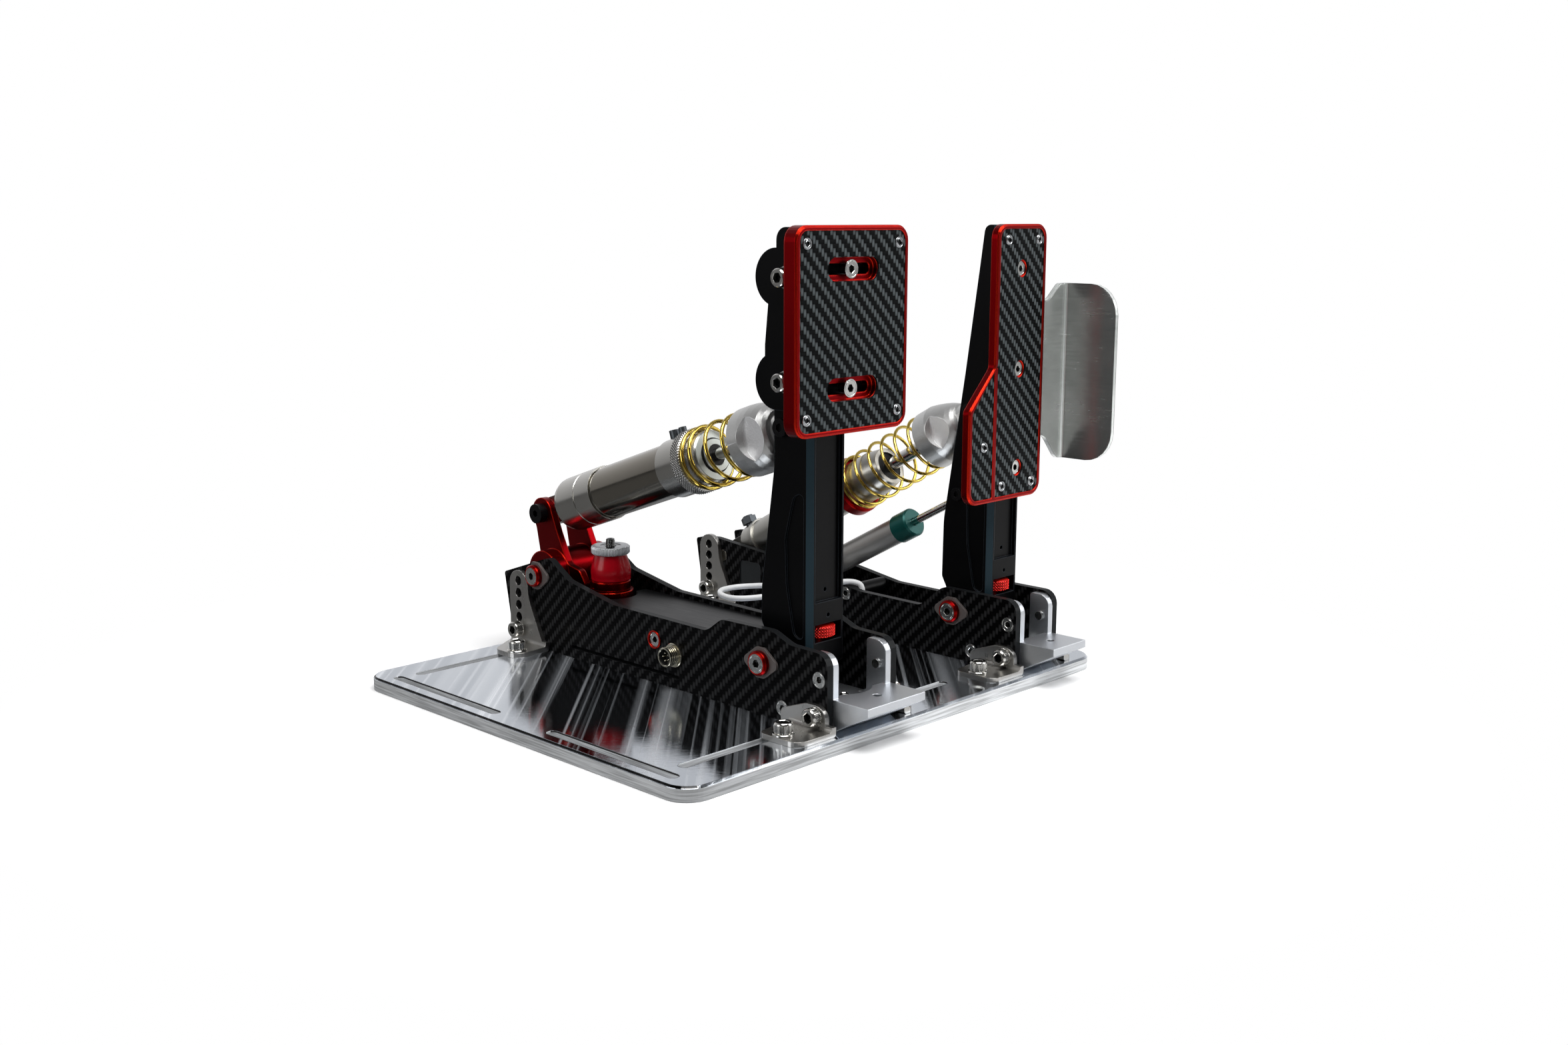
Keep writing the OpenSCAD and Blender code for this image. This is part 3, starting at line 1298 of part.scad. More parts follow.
module throttle_holes() {
  for (i = [0:4])
    stud_y_bar(throttle_x + throttle_stand[i], throttle_face_y - 1, throttle_stand_z[i], 8, 1.5, 1.5);
  for (z = throttle_bolts) {
    stud_y_bar(throttle_x, throttle_face_y - 1, z, bolt_sink + 1, bolt_ring_r, bolt_ring_r);
    translate([throttle_x, throttle_face_y + bolt_sink, z]) rotate([90, 0, 0])
      flat_body(6, side_head_r - 0.2, side_screw_r);
  }
}

module throttle_face() {
  color("firebrick") difference() {
    union() {
      facing(throttle_face_y + 0.8, throttle_face_t - 0.8) throttle_shape(0);
      facing(throttle_face_y, 0.9) throttle_shape(0.7);
    }
    facing(throttle_face_y - 1, inlay_t + 1) inlay_windows();
    throttle_holes();
  }
}

module throttle_inlays() {
  color([0.1, 0.1, 0.1]) difference() {
    facing(throttle_face_y + inlay_low, inlay_t - inlay_low) inlay_windows();
    throttle_holes();
  }
}

module throttle_face_screws() {
  color("silver") {
    for (i = [0:4]) button_screw(throttle_x + throttle_stand[i], throttle_face_y + inlay_low,
      throttle_stand_z[i], button_r, 4);
    for (z = throttle_bolts) translate([throttle_x, throttle_face_y + bolt_sink, z]) rotate([90, 0, 0])
      flat_screw(10, side_head_r - 0.2, side_screw_r);
  }
}

// Bent side plate clamped between the throttle face and its arm
wing_x = throttle_x + wing_reach;
wing_y = arm_front_y - wing_t;

module wing_plate() {
  bend = 5;
  tab_left = throttle_x - arm_half + 1;
  color("gainsboro") difference() {
    intersection() {
      translate([0, 0, wing_z[0]]) linear_extrude(wing_z[1] - wing_z[0]) polygon(outline([
        [tab_left, arm_front_y, 0], [tab_left, wing_y, 0],
        [wing_x - wing_t, wing_y, bend - wing_t], [wing_x - wing_t, wing_y - wing_flange, 0],
        [wing_x, wing_y - wing_flange, 0], [wing_x, arm_front_y, bend]]));
      union() {
        facing(wing_y - 1, wing_t + 2) polygon(outline([
          [tab_left, wing_tab_z[0], 4], [throttle_x + 33, wing_tab_z[0], 10],
          [wing_x - 7, wing_z[0], 8], [wing_x + 1, wing_z[0] - 1, 0], [wing_x + 1, wing_z[1] + 1, 0],
          [wing_x - 9, wing_z[1], 8], [throttle_x + 33, wing_tab_z[1], 10],
          [tab_left, wing_tab_z[1], 4]]));
        upright(wing_x - bend - 1, bend + 2) polygon(outline([
          [wing_y - wing_flange, wing_z[0], 18], [wing_y + 0.01, wing_z[0], 0],
          [wing_y + 0.01, wing_z[1], 0], [wing_y - wing_flange, wing_z[1], 18]]));
      }
    }
    for (z = throttle_bolts) stud_y_bar(throttle_x, wing_y - 1, z, 8, side_screw_r, side_screw_r);
  }
}

base_plate();
cap_screws();
front_brackets();
rear_brackets();
brake_plate_left();
brake_plate_right();
brake_heel();
brake_cover();
throttle_plate_left();
throttle_plate_right();
throttle_heel();
standoffs();
boss_plates();
cup_washers();
pivot_screws();
side_screws();
pivot_axles();
lead_socket();
sensor_cover();
sensor_lead();
load_cell();
elastomer_stud();
preload_nut();
rocker();
rocker_pin();
elastomer_cup();
elastomer();
cylinder_cap();
cylinder_tube();
cylinder_sleeve();
cylinder_seal();
cylinder_fittings();
spring_ring();
brake_spring();
cylinder_rod();
cylinder_knob();
brake_arm();
brake_thumbwheel();
brake_carrier();
carrier_screws();
brake_clevis_pin();
brake_face();
brake_inlay();
brake_face_screws();
throttle_arm();
throttle_thumbwheel();
throttle_clevis_pins();
throttle_face();
throttle_inlays();
throttle_face_screws();
wing_plate();
damper_tube();
damper_collar();
damper_fitting();
damper_rod();
damper_knob();
throttle_spring();
slim_damper();
slim_damper_cap();
slim_damper_rod();
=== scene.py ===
import bpy, bmesh, json, math
from mathutils import Matrix, Vector


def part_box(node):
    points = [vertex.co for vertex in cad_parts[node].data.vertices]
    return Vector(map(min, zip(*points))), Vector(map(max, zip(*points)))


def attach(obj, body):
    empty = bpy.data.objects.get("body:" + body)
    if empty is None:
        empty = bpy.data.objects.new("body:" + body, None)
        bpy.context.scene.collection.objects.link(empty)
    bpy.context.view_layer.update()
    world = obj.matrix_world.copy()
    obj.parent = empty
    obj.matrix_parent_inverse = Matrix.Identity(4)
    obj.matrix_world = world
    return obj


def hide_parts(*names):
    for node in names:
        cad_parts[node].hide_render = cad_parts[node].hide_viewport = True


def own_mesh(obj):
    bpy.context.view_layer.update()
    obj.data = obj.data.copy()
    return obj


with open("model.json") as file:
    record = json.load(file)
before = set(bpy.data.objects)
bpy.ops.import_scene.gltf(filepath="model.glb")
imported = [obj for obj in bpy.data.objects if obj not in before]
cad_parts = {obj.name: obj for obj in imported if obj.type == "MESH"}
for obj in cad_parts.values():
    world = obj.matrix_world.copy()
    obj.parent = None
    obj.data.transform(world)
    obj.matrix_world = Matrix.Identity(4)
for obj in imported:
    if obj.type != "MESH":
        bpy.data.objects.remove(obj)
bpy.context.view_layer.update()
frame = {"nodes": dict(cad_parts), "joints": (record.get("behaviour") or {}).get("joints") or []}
print("frame loaded:", len(frame["nodes"]), "nodes")

scene = bpy.context.scene
jointOf = {j["name"]: j for j in frame["joints"]}
fullTurn = 2 * math.pi


def jointPlace(name):
    return Vector(jointOf[name]["pos_m"])


def jointAxis(name):
    return Vector(jointOf[name]["axis"]).normalized()


# the camera stands where the photographer stood, in metres and degrees
cameraSet = {"place": (-0.6531, -0.6745, 0.2730), "heading": -45.7, "down": 10.79, "roll": 0.12,
             "lens": 37.22, "sensor": 36.0, "near": 0.01}
cam = bpy.data.objects.new("camera", bpy.data.cameras.new("camera"))
scene.collection.objects.link(cam)
cam.data.sensor_width = cameraSet["sensor"]
cam.data.lens = cameraSet["lens"]
cam.data.clip_start = cameraSet["near"]
cam.matrix_world = (Matrix.Translation(cameraSet["place"])
                    @ Matrix.Rotation(math.radians(cameraSet["heading"]), 4, "Z")
                    @ Matrix.Rotation(math.radians(90 - cameraSet["down"]), 4, "X")
                    @ Matrix.Rotation(math.radians(cameraSet["roll"]), 4, "Z"))
scene.camera = cam
scene.view_settings.view_transform = "Standard"
print("camera placed")


# node helpers: an input takes a number, a colour, a vector or another node's socket
def wire(nt, a, b):
    nt.links.new(a, b)


def addNode(nt, kind, values=None, **settings):
    n = nt.nodes.new(kind)
    for key, value in settings.items():
        setattr(n, key, value)
    for key, value in (values or {}).items():
        sock = n.inputs[key]
        if isinstance(value, bpy.types.NodeSocket):
            wire(nt, value, sock)
        elif value is not None:
            sock.default_value = (*value, 1) if sock.type == "RGBA" else value
    return n


def calc(nt, op, a, b=None, clamp=False):
    return addNode(nt, "ShaderNodeMath", {0: a, 1: b}, operation=op, use_clamp=clamp).outputs[0]


def plus(nt, a, b):
    return calc(nt, "ADD", a, b)


def minus(nt, a, b):
    return calc(nt, "SUBTRACT", a, b)


def times(nt, a, b):
    return calc(nt, "MULTIPLY", a, b)


def vectorCalc(nt, op, a, b=None):
    n = addNode(nt, "ShaderNodeVectorMath", {0: a, 1: b}, operation=op)
    return n.outputs["Value" if op in ("DOT_PRODUCT", "LENGTH") else "Vector"]


def mixColor(nt, share, a, b, blend="MIX"):
    return addNode(nt, "ShaderNodeMix", {0: share, 6: a, 7: b}, data_type="RGBA", blend_type=blend).outputs[2]


def mapRange(nt, value, lo, hi, outLo, outHi):
    return addNode(nt, "ShaderNodeMapRange", dict(enumerate((value, lo, hi, outLo, outHi)))).outputs[0]


def noise(nt, vector, scale, detail):
    return addNode(nt, "ShaderNodeTexNoise", {"Vector": vector, "Scale": scale, "Detail": detail}).outputs[0]


def placeIn(nt, kind="Object"):
    return addNode(nt, "ShaderNodeTexCoord").outputs[kind]


def normalOf(nt, kind="True Normal"):
    return addNode(nt, "ShaderNodeNewGeometry").outputs[kind]


def parts(nt, vector):
    return addNode(nt, "ShaderNodeSeparateXYZ", {0: vector}).outputs


def newGroup(name, inputs, outputs, kind="ShaderNodeTree"):
    g = bpy.data.node_groups.new(name, kind)
    for way, sockets in (("INPUT", inputs), ("OUTPUT", outputs)):
        for label, socketKind in sockets.items():
            g.interface.new_socket(name=label, in_out=way, socket_type="NodeSocket" + socketKind)
    return g, g.nodes.new("NodeGroupInput").outputs, g.nodes.new("NodeGroupOutput").inputs


def emptyTree(owner):
    owner.use_nodes = True
    owner.node_tree.nodes.clear()
    return owner.node_tree


def newMaterial(name):
    m = bpy.data.materials.new(name)
    return m, emptyTree(m)


def principled(nt, values):
    b = addNode(nt, "ShaderNodeBsdfPrincipled", values)
    addNode(nt, "ShaderNodeOutputMaterial", {0: b.outputs[0]})


# carbon twill: warp tows run along V, two over and two under, stepping one tow a column
twillSet = {"repeat": 4.0, "over": 2.0, "round": 2.6, "ends": 0.5, "fibre": 900, "detail": 2,
            "fibreTone": (0.3, 0.7, 0.7, 1.0), "warpTone": (0.0, 0.9, 0.12, 1.0), "weftTone": 0.05,
            "rough": (0.0, 1.0, 0.42, 0.26)}


def carbonTwill():
    s = twillSet
    g, given, made = newGroup("carbonTwill",
                              {"U": "Float", "V": "Float", "Tow": "Float", "Light": "Color", "Dark": "Color"},
                              {"Color": "Color", "Height": "Float", "Roughness": "Float"})
    u = calc(g, "DIVIDE", given["U"], given["Tow"])
    v = calc(g, "DIVIDE", given["V"], given["Tow"])

    def run(along, across, start):  # how far along its four-tow repeat a tow is
        stepped = plus(g, plus(g, along, calc(g, "FLOOR", across)), start)
        return calc(g, "FLOORED_MODULO", stepped, s["repeat"])

    def hump(side, dip):  # rounded across the tow, dipping where it goes under
        f = minus(g, times(g, calc(g, "FRACT", side), 2.0), 1.0)
        bulge = minus(g, 1.0, calc(g, "POWER", calc(g, "ABSOLUTE", f), s["round"]))
        return times(g, bulge, calc(g, "POWER", dip, s["ends"]))

    def swing(at):
        return calc(g, "SINE", times(g, at, math.pi / 2))

    warpRun, weftRun = run(v, u, 0.0), run(u, v, s["over"])
    warpHere = calc(g, "LESS_THAN", warpRun, s["over"])
    weftHere = minus(g, 1.0, warpHere)
    warp = hump(u, calc(g, "MAXIMUM", swing(warpRun), 0.0))
    weft = hump(v, calc(g, "ABSOLUTE", swing(weftRun)))
    fibre = mapRange(g, noise(g, None, s["fibre"], s["detail"]), *s["fibreTone"])
    # each tow's colour follows its hump: painted shade darkens a tow towards its sides and where it dips
    # under; light warp over dark weft is the weave's own pattern
    warpTone = times(g, warpHere, mapRange(g, times(g, warp, fibre), *s["warpTone"]))
    weftTone = times(g, weftHere, times(g, weft, s["weftTone"]))
    wire(g, mixColor(g, plus(g, warpTone, weftTone), given["Dark"], given["Light"]), made["Color"])
    wire(g, plus(g, times(g, warpHere, warp), times(g, weftHere, weft)), made["Height"])
    wire(g, mapRange(g, warpTone, *s["rough"]), made["Roughness"])
    return g


twill = carbonTwill()

# metal grain: tone, roughness and fine relief of a machined, brushed or blasted surface, and painted light on
# its edges
grainSet = {"detail": 3, "broad": 38, "broadDetail": 4, "samples": 4, "edgeTurn": (0.985, 0.8, 0.0, 1.0),
            "reliefHigh": 0.0002, "coatRough": 0.06}


def metalGrain():
    s = grainSet
    g, given, made = newGroup("metalGrain",
                              {"Color": "Color", "Rough": "Float", "Spread": "Float", "Scale": "Float",
                               "Stretch": "Vector", "Relief": "Float", "Mottle": "Float", "Edge": "Float",
                               "Painted Edge Light": "Color", "Painted Edge Share": "Float"},
                              {"Color": "Color", "Roughness": "Float", "Normal": "Vector"})
    here = placeIn(g)
    fine = noise(g, vectorCalc(g, "MULTIPLY", here, given["Stretch"]), given["Scale"], s["detail"])
    broad = noise(g, here, s["broad"], s["broadDetail"])
    tone = plus(g, times(g, minus(g, broad, 0.5), times(g, given["Mottle"], 2.0)),
                times(g, minus(g, fine, 0.5), given["Mottle"]))
    toned = addNode(g, "ShaderNodeHueSaturation", {"Value": plus(g, 1.0, tone), "Color": given["Color"]})
    uneven = minus(g, plus(g, fine, broad), 1.0)
    wire(g, plus(g, given["Rough"], times(g, uneven, given["Spread"])), made["Roughness"])
    edge = addNode(g, "ShaderNodeBevel", {"Radius": given["Edge"]}, samples=s["samples"]).outputs[0]
    # painted edge light: the edges, where the bevel turns the normal, take the edge colour as a painted
    # highlight, or as painted shade where that colour is dark
    turn = vectorCalc(g, "DOT_PRODUCT", edge, normalOf(g, "Normal"))
    paintedEdgeMask = times(g, mapRange(g, turn, *s["edgeTurn"]), given["Painted Edge Share"])
    wire(g, mixColor(g, paintedEdgeMask, toned.outputs[0], given["Painted Edge Light"]), made["Color"])
    relief = addNode(g, "ShaderNodeBump", {"Distance": s["reliefHigh"], "Strength": given["Relief"],
                                           "Height": fine, "Normal": edge})
    wire(g, relief.outputs[0], made["Normal"])
    return g


grain = metalGrain()


# 1 on faces that point within a narrow cone of one direction
def facing(nt, direction, least):
    return calc(nt, "GREATER_THAN", vectorCalc(nt, "DOT_PRODUCT", normalOf(nt), direction), least)


# the edge colour and its share paint light onto the edges; the cut share paints shade into knurl cuts, grooves
# and sockets; the facing tint paints light or shade onto the faces that look one way
def grainedMetal(name, color, rough, metallic=1.0, spread=0.08, scale=400.0, stretch=(1, 1, 1), relief=0.08,
                 mottle=0.06, edge=0.0003, coat=0.0, specular=0.5, paintedEdgeLight=(1, 1, 1), share=0.0, cutShadeShare=0.0,
                 facingLight=None):
    m, nt = newMaterial(name)
    made = addNode(nt, "ShaderNodeGroup", {
        "Color": color, "Rough": rough, "Spread": spread, "Scale": scale, "Stretch": stretch,
        "Relief": relief, "Mottle": mottle, "Edge": edge, "Painted Edge Light": paintedEdgeLight, "Painted Edge Share": share},
        node_tree=grain).outputs
    tint = made["Color"]
    # painted shade in knurl cuts, grooves and sockets, darker where the cut attribute is deeper
    if cutShadeShare:
        cut = addNode(nt, "ShaderNodeAttribute", attribute_name="cut").outputs["Fac"]
        tint = mixColor(nt, times(nt, cut, cutShadeShare), tint, (0, 0, 0))
    # painted light on the faces that look one way: painted highlight on chamfers and flats, painted shade on
    # the wing plate's flange
    if facingLight:
        tint = mixColor(nt, facing(nt, *facingLight[:2]), tint, *facingLight[2:])
    principled(nt, {"Metallic": metallic, "Coat Weight": coat, "Coat Roughness": grainSet["coatRough"],
                    "Specular IOR Level": specular, "Base Color": tint, "Roughness": made["Roughness"],
                    "Normal": made["Normal"]})
    return m


finishes = {
    # painted orange-red highlight on the bevels
    "redAnodised": dict(color=(0.22, 0.001, 0.003), rough=0.3, spread=0.06, scale=1600, relief=0.02,
                        mottle=0.03, edge=0.0011, paintedEdgeLight=(0.95, 0.035, 0.012), share=0.9),
    # painted shade in the knurl's cuts
    "redWheel": dict(color=(1.0, 0.02, 0.01), rough=0.22, metallic=0.6, spread=0.05, scale=900, relief=0.01,
                     edge=0.0, cutShadeShare=0.85),
    # painted blue-grey highlight on the edges and on the front chamfers that look towards the camera
    "blackAnodised": dict(color=(0.0014, 0.0014, 0.0018), rough=0.32, metallic=0.0, specular=0.1, scale=1400,
                          relief=0.04, edge=0.0007, paintedEdgeLight=(0.05, 0.065, 0.08), share=0.8,
                          facingLight=((-0.707, -0.707, 0), 0.96, (0.022, 0.042, 0.055))),
    "blackOxide": dict(color=(0.002, 0.002, 0.0025), rough=0.3, metallic=0.0, specular=0.18, relief=0.03),
    "darkCover": dict(color=(0.006, 0.0062, 0.0068), rough=0.42, metallic=0.0, specular=0.25, spread=0.1,
                      scale=500, stretch=(1, 0.12, 1), relief=0.1),
    # painted highlight on the knob's flat that faces left
    "blastedAluminium": dict(color=(0.6, 0.6, 0.59), rough=0.38, scale=1000, relief=0.4, mottle=0.14,
                             edge=0.0005, facingLight=((-1, 0, 0), 0.9999, (1.6, 1.6, 1.65), "MULTIPLY")),
    "turnedSteel": dict(color=(0.27, 0.25, 0.215), rough=0.15, spread=0.06, scale=500, stretch=(0.3, 0.3, 1),
                        relief=0.02),
    "turnedCap": dict(color=(0.5, 0.49, 0.46), rough=0.24, spread=0.06, scale=900, relief=0.012, edge=0.0002),
    "bracketSteel": dict(color=(0.47, 0.46, 0.44), rough=0.3, spread=0.12, scale=300, stretch=(1, 1, 0.15),
                         relief=0.06, edge=0.0006),
    # the screws' finishes paint shade into their grooves and sockets
    "screwSteel": dict(color=(0.66, 0.65, 0.62), rough=0.2, spread=0.05, scale=700, relief=0.004, edge=0.0,
                       cutShadeShare=0.93),
    "headSteel": dict(color=(0.6, 0.6, 0.58), rough=0.22, spread=0.05, scale=700, relief=0.006, edge=0.0,
                      cutShadeShare=0.95),
    "dimSteel": dict(color=(0.34, 0.35, 0.36), rough=0.24, spread=0.05, scale=700, relief=0.006, edge=0.0,
                     cutShadeShare=0.95),
    # painted shade in the knurl's cuts
    "ringSteel": dict(color=(0.5, 0.49, 0.47), rough=0.28, scale=600, relief=0.01, edge=0.0, cutShadeShare=0.92),
    "polishedRod": dict(color=(0.7, 0.69, 0.67), rough=0.1, spread=0.05, scale=300, relief=0.02),
    "springWire": dict(color=(0.66, 0.48, 0.1), rough=0.13, spread=0.06, scale=160, relief=0.02, mottle=0.3),
    # painted shade on the edges and on the flange that faces left
    "wingSteel": dict(color=(0.92, 0.96, 0.93), rough=0.25, metallic=0.78, spread=0.1, scale=700,
                      stretch=(0.12, 0.12, 1), relief=0.006, mottle=0.34, edge=0.0012, paintedEdgeLight=(0.03, 0.03, 0.03),
                      share=0.95, facingLight=((-1, 0, 0), 0.99, (0.42, 0.41, 0.41), "MULTIPLY")),
    "tealAnodised": dict(color=(0.0, 0.085, 0.075), rough=0.35, metallic=0.4, scale=700, relief=0.03),
    "slimTube": dict(color=(0.5, 0.49, 0.47), rough=0.44, spread=0.06, scale=1600, relief=0.3, mottle=0.08),
    "nickel": dict(color=(0.66, 0.62, 0.5), rough=0.18, spread=0.05, scale=500, relief=0.01, edge=0.0),
    "greyPanel": dict(color=(0.012, 0.015, 0.017), rough=0.3, metallic=0.0, relief=0.04),
    "whiteJacket": dict(color=(0.85, 0.86, 0.87), rough=0.4, metallic=0.0, relief=0.06, scale=500),
    "redElastomer": dict(color=(0.4, 0.001, 0.008), rough=0.25, metallic=0.0, specular=0.25, spread=0.05,
                         relief=0.02, coat=0.08),
    "bossBlack": dict(color=(0.105, 0.09, 0.085), rough=0.3, metallic=0.0, relief=0.05, edge=0.0005),
    # painted highlight on the edges
    "heelAluminium": dict(color=(0.6, 0.62, 0.65), rough=0.38, spread=0.06, scale=1700, relief=0.4,
                          mottle=0.1, edge=0.0008, paintedEdgeLight=(0.95, 0.97, 1), share=0.7),
    "cellGrey": dict(color=(0.1, 0.11, 0.12), rough=0.4, scale=700, relief=0.05),
    # the nut's side and top are lit and shaded copies of one metal: painted highlight on the side, painted
    # shade on the top
    "nutSideLit": dict(color=(0.9, 0.93, 0.96), rough=0.34, metallic=0.5, relief=0.02, edge=0.0, cutShadeShare=0.7),
    "nutTopShaded": dict(color=(0.25, 0.26, 0.27), rough=0.24, scale=500, relief=0.04),
    "studSteel": dict(color=(0.2, 0.2, 0.2), rough=0.25, relief=0.04),
    "sealBlack": dict(color=(0.006, 0.006, 0.006), rough=0.4, metallic=0.0, specular=0.2, relief=0.03),
    "damperSatin": dict(color=(0.42, 0.41, 0.38), rough=0.32, scale=900, edge=0.0006),
    "satinSeat": dict(color=(0.4, 0.42, 0.4), rough=0.42, spread=0.05, scale=900, relief=0.02, edge=0.0),
    # painted shade inside the connector's mouth
    "shadedBore": dict(color=(0.01, 0.01, 0.01), rough=0.5, metallic=0.0, relief=0.03),
}
looks = {name: grainedMetal(name, **values) for name, values in finishes.items()}

# carbon sheet: across and along are the axes of its plane, face the axis that it looks along
carbonSet = {"edge": (0.012, 0.013, 0.014), "flat": 0.7, "rough": (0.0, 0.3, 0.5, 0.34), "coatRough": 0.1,
             "coatIor": 1.25, "specular": 0.03, "bumpHigh": 0.00012, "bump": 0.5}
carbonSheets = {
    "sideCarbon": dict(across="Y", along="Z", face="X", tow=0.0022, light=(0.027, 0.027, 0.028),
                       dark=(0.0003, 0.0003, 0.0004), coat=0.2),
    "faceCarbon": dict(across="X", along="Z", face="Y", tow=0.0021, light=(0.105, 0.12, 0.125),
                       dark=(0.0003, 0.0003, 0.0004), coat=0.02),
}


def carbonSheet(name, across, along, face, tow, light, dark, coat):
    s = carbonSet
    m, nt = newMaterial(name)
    here = parts(nt, placeIn(nt))
    weave = addNode(nt, "ShaderNodeGroup", {"U": here[across], "V": here[along], "Tow": tow, "Light": light,
                                            "Dark": dark}, node_tree=twill).outputs
    flat = calc(nt, "GREATER_THAN", calc(nt, "ABSOLUTE", parts(nt, normalOf(nt))[face]), s["flat"])
    bump = addNode(nt, "ShaderNodeBump", {"Distance": s["bumpHigh"], "Strength": s["bump"],
                                          "Height": times(nt, flat, weave["Height"])})
    principled(nt, {"Metallic": 0.0, "Coat Weight": coat, "Coat Roughness": s["coatRough"],
                    "Specular IOR Level": s["specular"], "Coat IOR": s["coatIor"],
                    "Base Color": mixColor(nt, flat, s["edge"], weave["Color"]),
                    "Roughness": mapRange(nt, times(nt, flat, weave["Roughness"]), *s["rough"]),
                    "Normal": bump.outputs[0]})
    return m


for name, values in carbonSheets.items():
    looks[name] = carbonSheet(name, **values)

# mill-polished plate: a mirror whose fine cutter lines draw reflections out towards the front left corner;
# each noise is scale, stretch and detail, and each levels entry maps its range
plateSet = {"tone": (0.5, 0.535, 0.58), "dim": (0.78, 0.81, 0.85), "side": (0.88, 0.9, 0.92),
            # black is painted shade on the left side's top bevel
            "bevelShade": (0.02, 0.02, 0.02), "drawAngle": 45.7,
            "wide": (70.0, (1, 0.008, 1), 1), "wideLevels": (0.5, 0.74, 0.0, 0.5),
            "thin": (280.0, (1, 0.004, 1), 2), "thinLevels": (0.54, 0.76, 0.0, 0.75),
            "lines": (2600.0, (0.04, 1, 1), 2), "lineLevels": (0.0, 1.0, 0.35, 1.0),
            "saw": (1100.0, (0.03, 0.03, 1), 3), "sawLevels": (0.35, 0.62, 0.55, 1.0),
            "smooth": 0.07, "dull": 0.28, "wallRough": 0.4, "haze": 0.5, "sawn": 0.3,
            "wallBelow": 0.4, "bevelBelow": 0.95, "leftBelow": -0.3, "line": 0.0009,
            "bevel": 0.0008, "bevelSamples": 4, "pull": 0.9, "pullHigh": 0.00004}


def mirrorPlate():
    s = plateSet
    m, nt = newMaterial("mirrorPlate")
    here = placeIn(nt)
    drawn = addNode(nt, "ShaderNodeVectorRotate", {"Vector": here, "Angle": math.radians(s["drawAngle"])},
                    rotation_type="Z_AXIS").outputs[0]

    def stretched(scale, stretch, detail):
        return noise(nt, vectorCalc(nt, "MULTIPLY", drawn, stretch), scale, detail)

    streak = calc(nt, "ADD", mapRange(nt, stretched(*s["wide"]), *s["wideLevels"]),
                  mapRange(nt, stretched(*s["thin"]), *s["thinLevels"]), True)
    out = parts(nt, normalOf(nt))
    level = calc(nt, "ABSOLUTE", out["Z"])
    wall = calc(nt, "LESS_THAN", level, s["wallBelow"])
    nearTop = calc(nt, "GREATER_THAN", parts(nt, here)["Z"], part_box("base_plate")[1].z - s["line"])
    # painted shade: the top bevel on the plate's left side is coloured black
    leftBevelShade = times(nt, times(nt, calc(nt, "LESS_THAN", level, s["bevelBelow"]), nearTop),
                      calc(nt, "LESS_THAN", out["X"], s["leftBelow"]))
    haze = mapRange(nt, streak, 0.0, 1.0, 1.0, 1.0 - s["haze"])
    tone = mixColor(nt, streak, s["tone"], s["dim"])
    sawnTone = mixColor(nt, 1.0, s["side"], mapRange(nt, stretched(*s["saw"]), *s["sawLevels"]), "MULTIPLY")
    bevel = addNode(nt, "ShaderNodeBevel", {"Radius": s["bevel"]}, samples=s["bevelSamples"])
    height = times(nt, stretched(*s["lines"]), mapRange(nt, streak, *s["lineLevels"]))
    bump = addNode(nt, "ShaderNodeBump", {"Distance": s["pullHigh"], "Strength": s["pull"], "Height": height,
                                          "Normal": bevel.outputs[0]})
    principled(nt, {"Metallic": times(nt, haze, mapRange(nt, wall, 0.0, 1.0, 1.0, s["sawn"])),
                    "Base Color": mixColor(nt, leftBevelShade, mixColor(nt, wall, tone, sawnTone), s["bevelShade"]),
                    "Roughness": calc(nt, "MAXIMUM", mapRange(nt, streak, 0.0, 1.0, s["smooth"], s["dull"]),
                                      times(nt, wall, s["wallRough"])),
                    "Normal": bump.outputs[0]})
    return m


looks["mirrorPlate"] = mirrorPlate()
print("materials made:", len(looks))


# mesh helpers: shapes are made round a local axis and then set in place
def axisMatrix(place, along):
    z = Vector(along).normalized()
    x = Vector((1, 0, 0)) if abs(z.x) < 0.9 else Vector((0, 1, 0))
    y = z.cross(x).normalized()
    x = y.cross(z).normalized()
    m = Matrix((x, y, z)).transposed().to_4x4()
    m.translation = Vector(place)
    return m


# an upright axis through the middle of a node's box, and the box's two corners
def uprightBox(node):
    lo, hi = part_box(node)
    return Matrix.Translation(((lo.x + hi.x) / 2, (lo.y + hi.y) / 2, 0)), lo, hi


def ringPoint(r, a, h):
    return Vector((r * math.cos(a), r * math.sin(a), h))


# the band of faces between two rings of points, by the first point of each
def band(a, b, sides):
    return [(a + k, a + (k + 1) % sides, b + (k + 1) % sides, b + k) for k in range(sides)]


# the bands between rings that follow one another; on a closed shape the last one meets the first
def bands(rings, sides, closed=False):
    last = rings if closed else rings - 1
    return [face for i in range(last) for face in band(i * sides, (i + 1) % rings * sides, sides)]


def hexCos(a):
    return math.cos((a % (math.pi / 3)) - math.pi / 6)


def addShape(verts, faces, moreVerts, moreFaces):
    faces += [tuple(len(verts) + k for k in face) for face in moreFaces]
    verts += moreVerts


# a smooth curve through points, in a few steps from each to the next
def curveThrough(points, steps):
    fine = []
    for i in range(len(points) - 1):
        a, b, c, d = (points[max(0, min(len(points) - 1, i + k))] for k in (-1, 0, 1, 2))
        for k in range(steps):
            t = k / steps
            fine.append(0.5 * (2 * b + (c - a) * t + (2 * a - 5 * b + 4 * c - d) * t * t
                               + (3 * b - a - 3 * c + d) * t ** 3))
    return fine + [points[-1]]


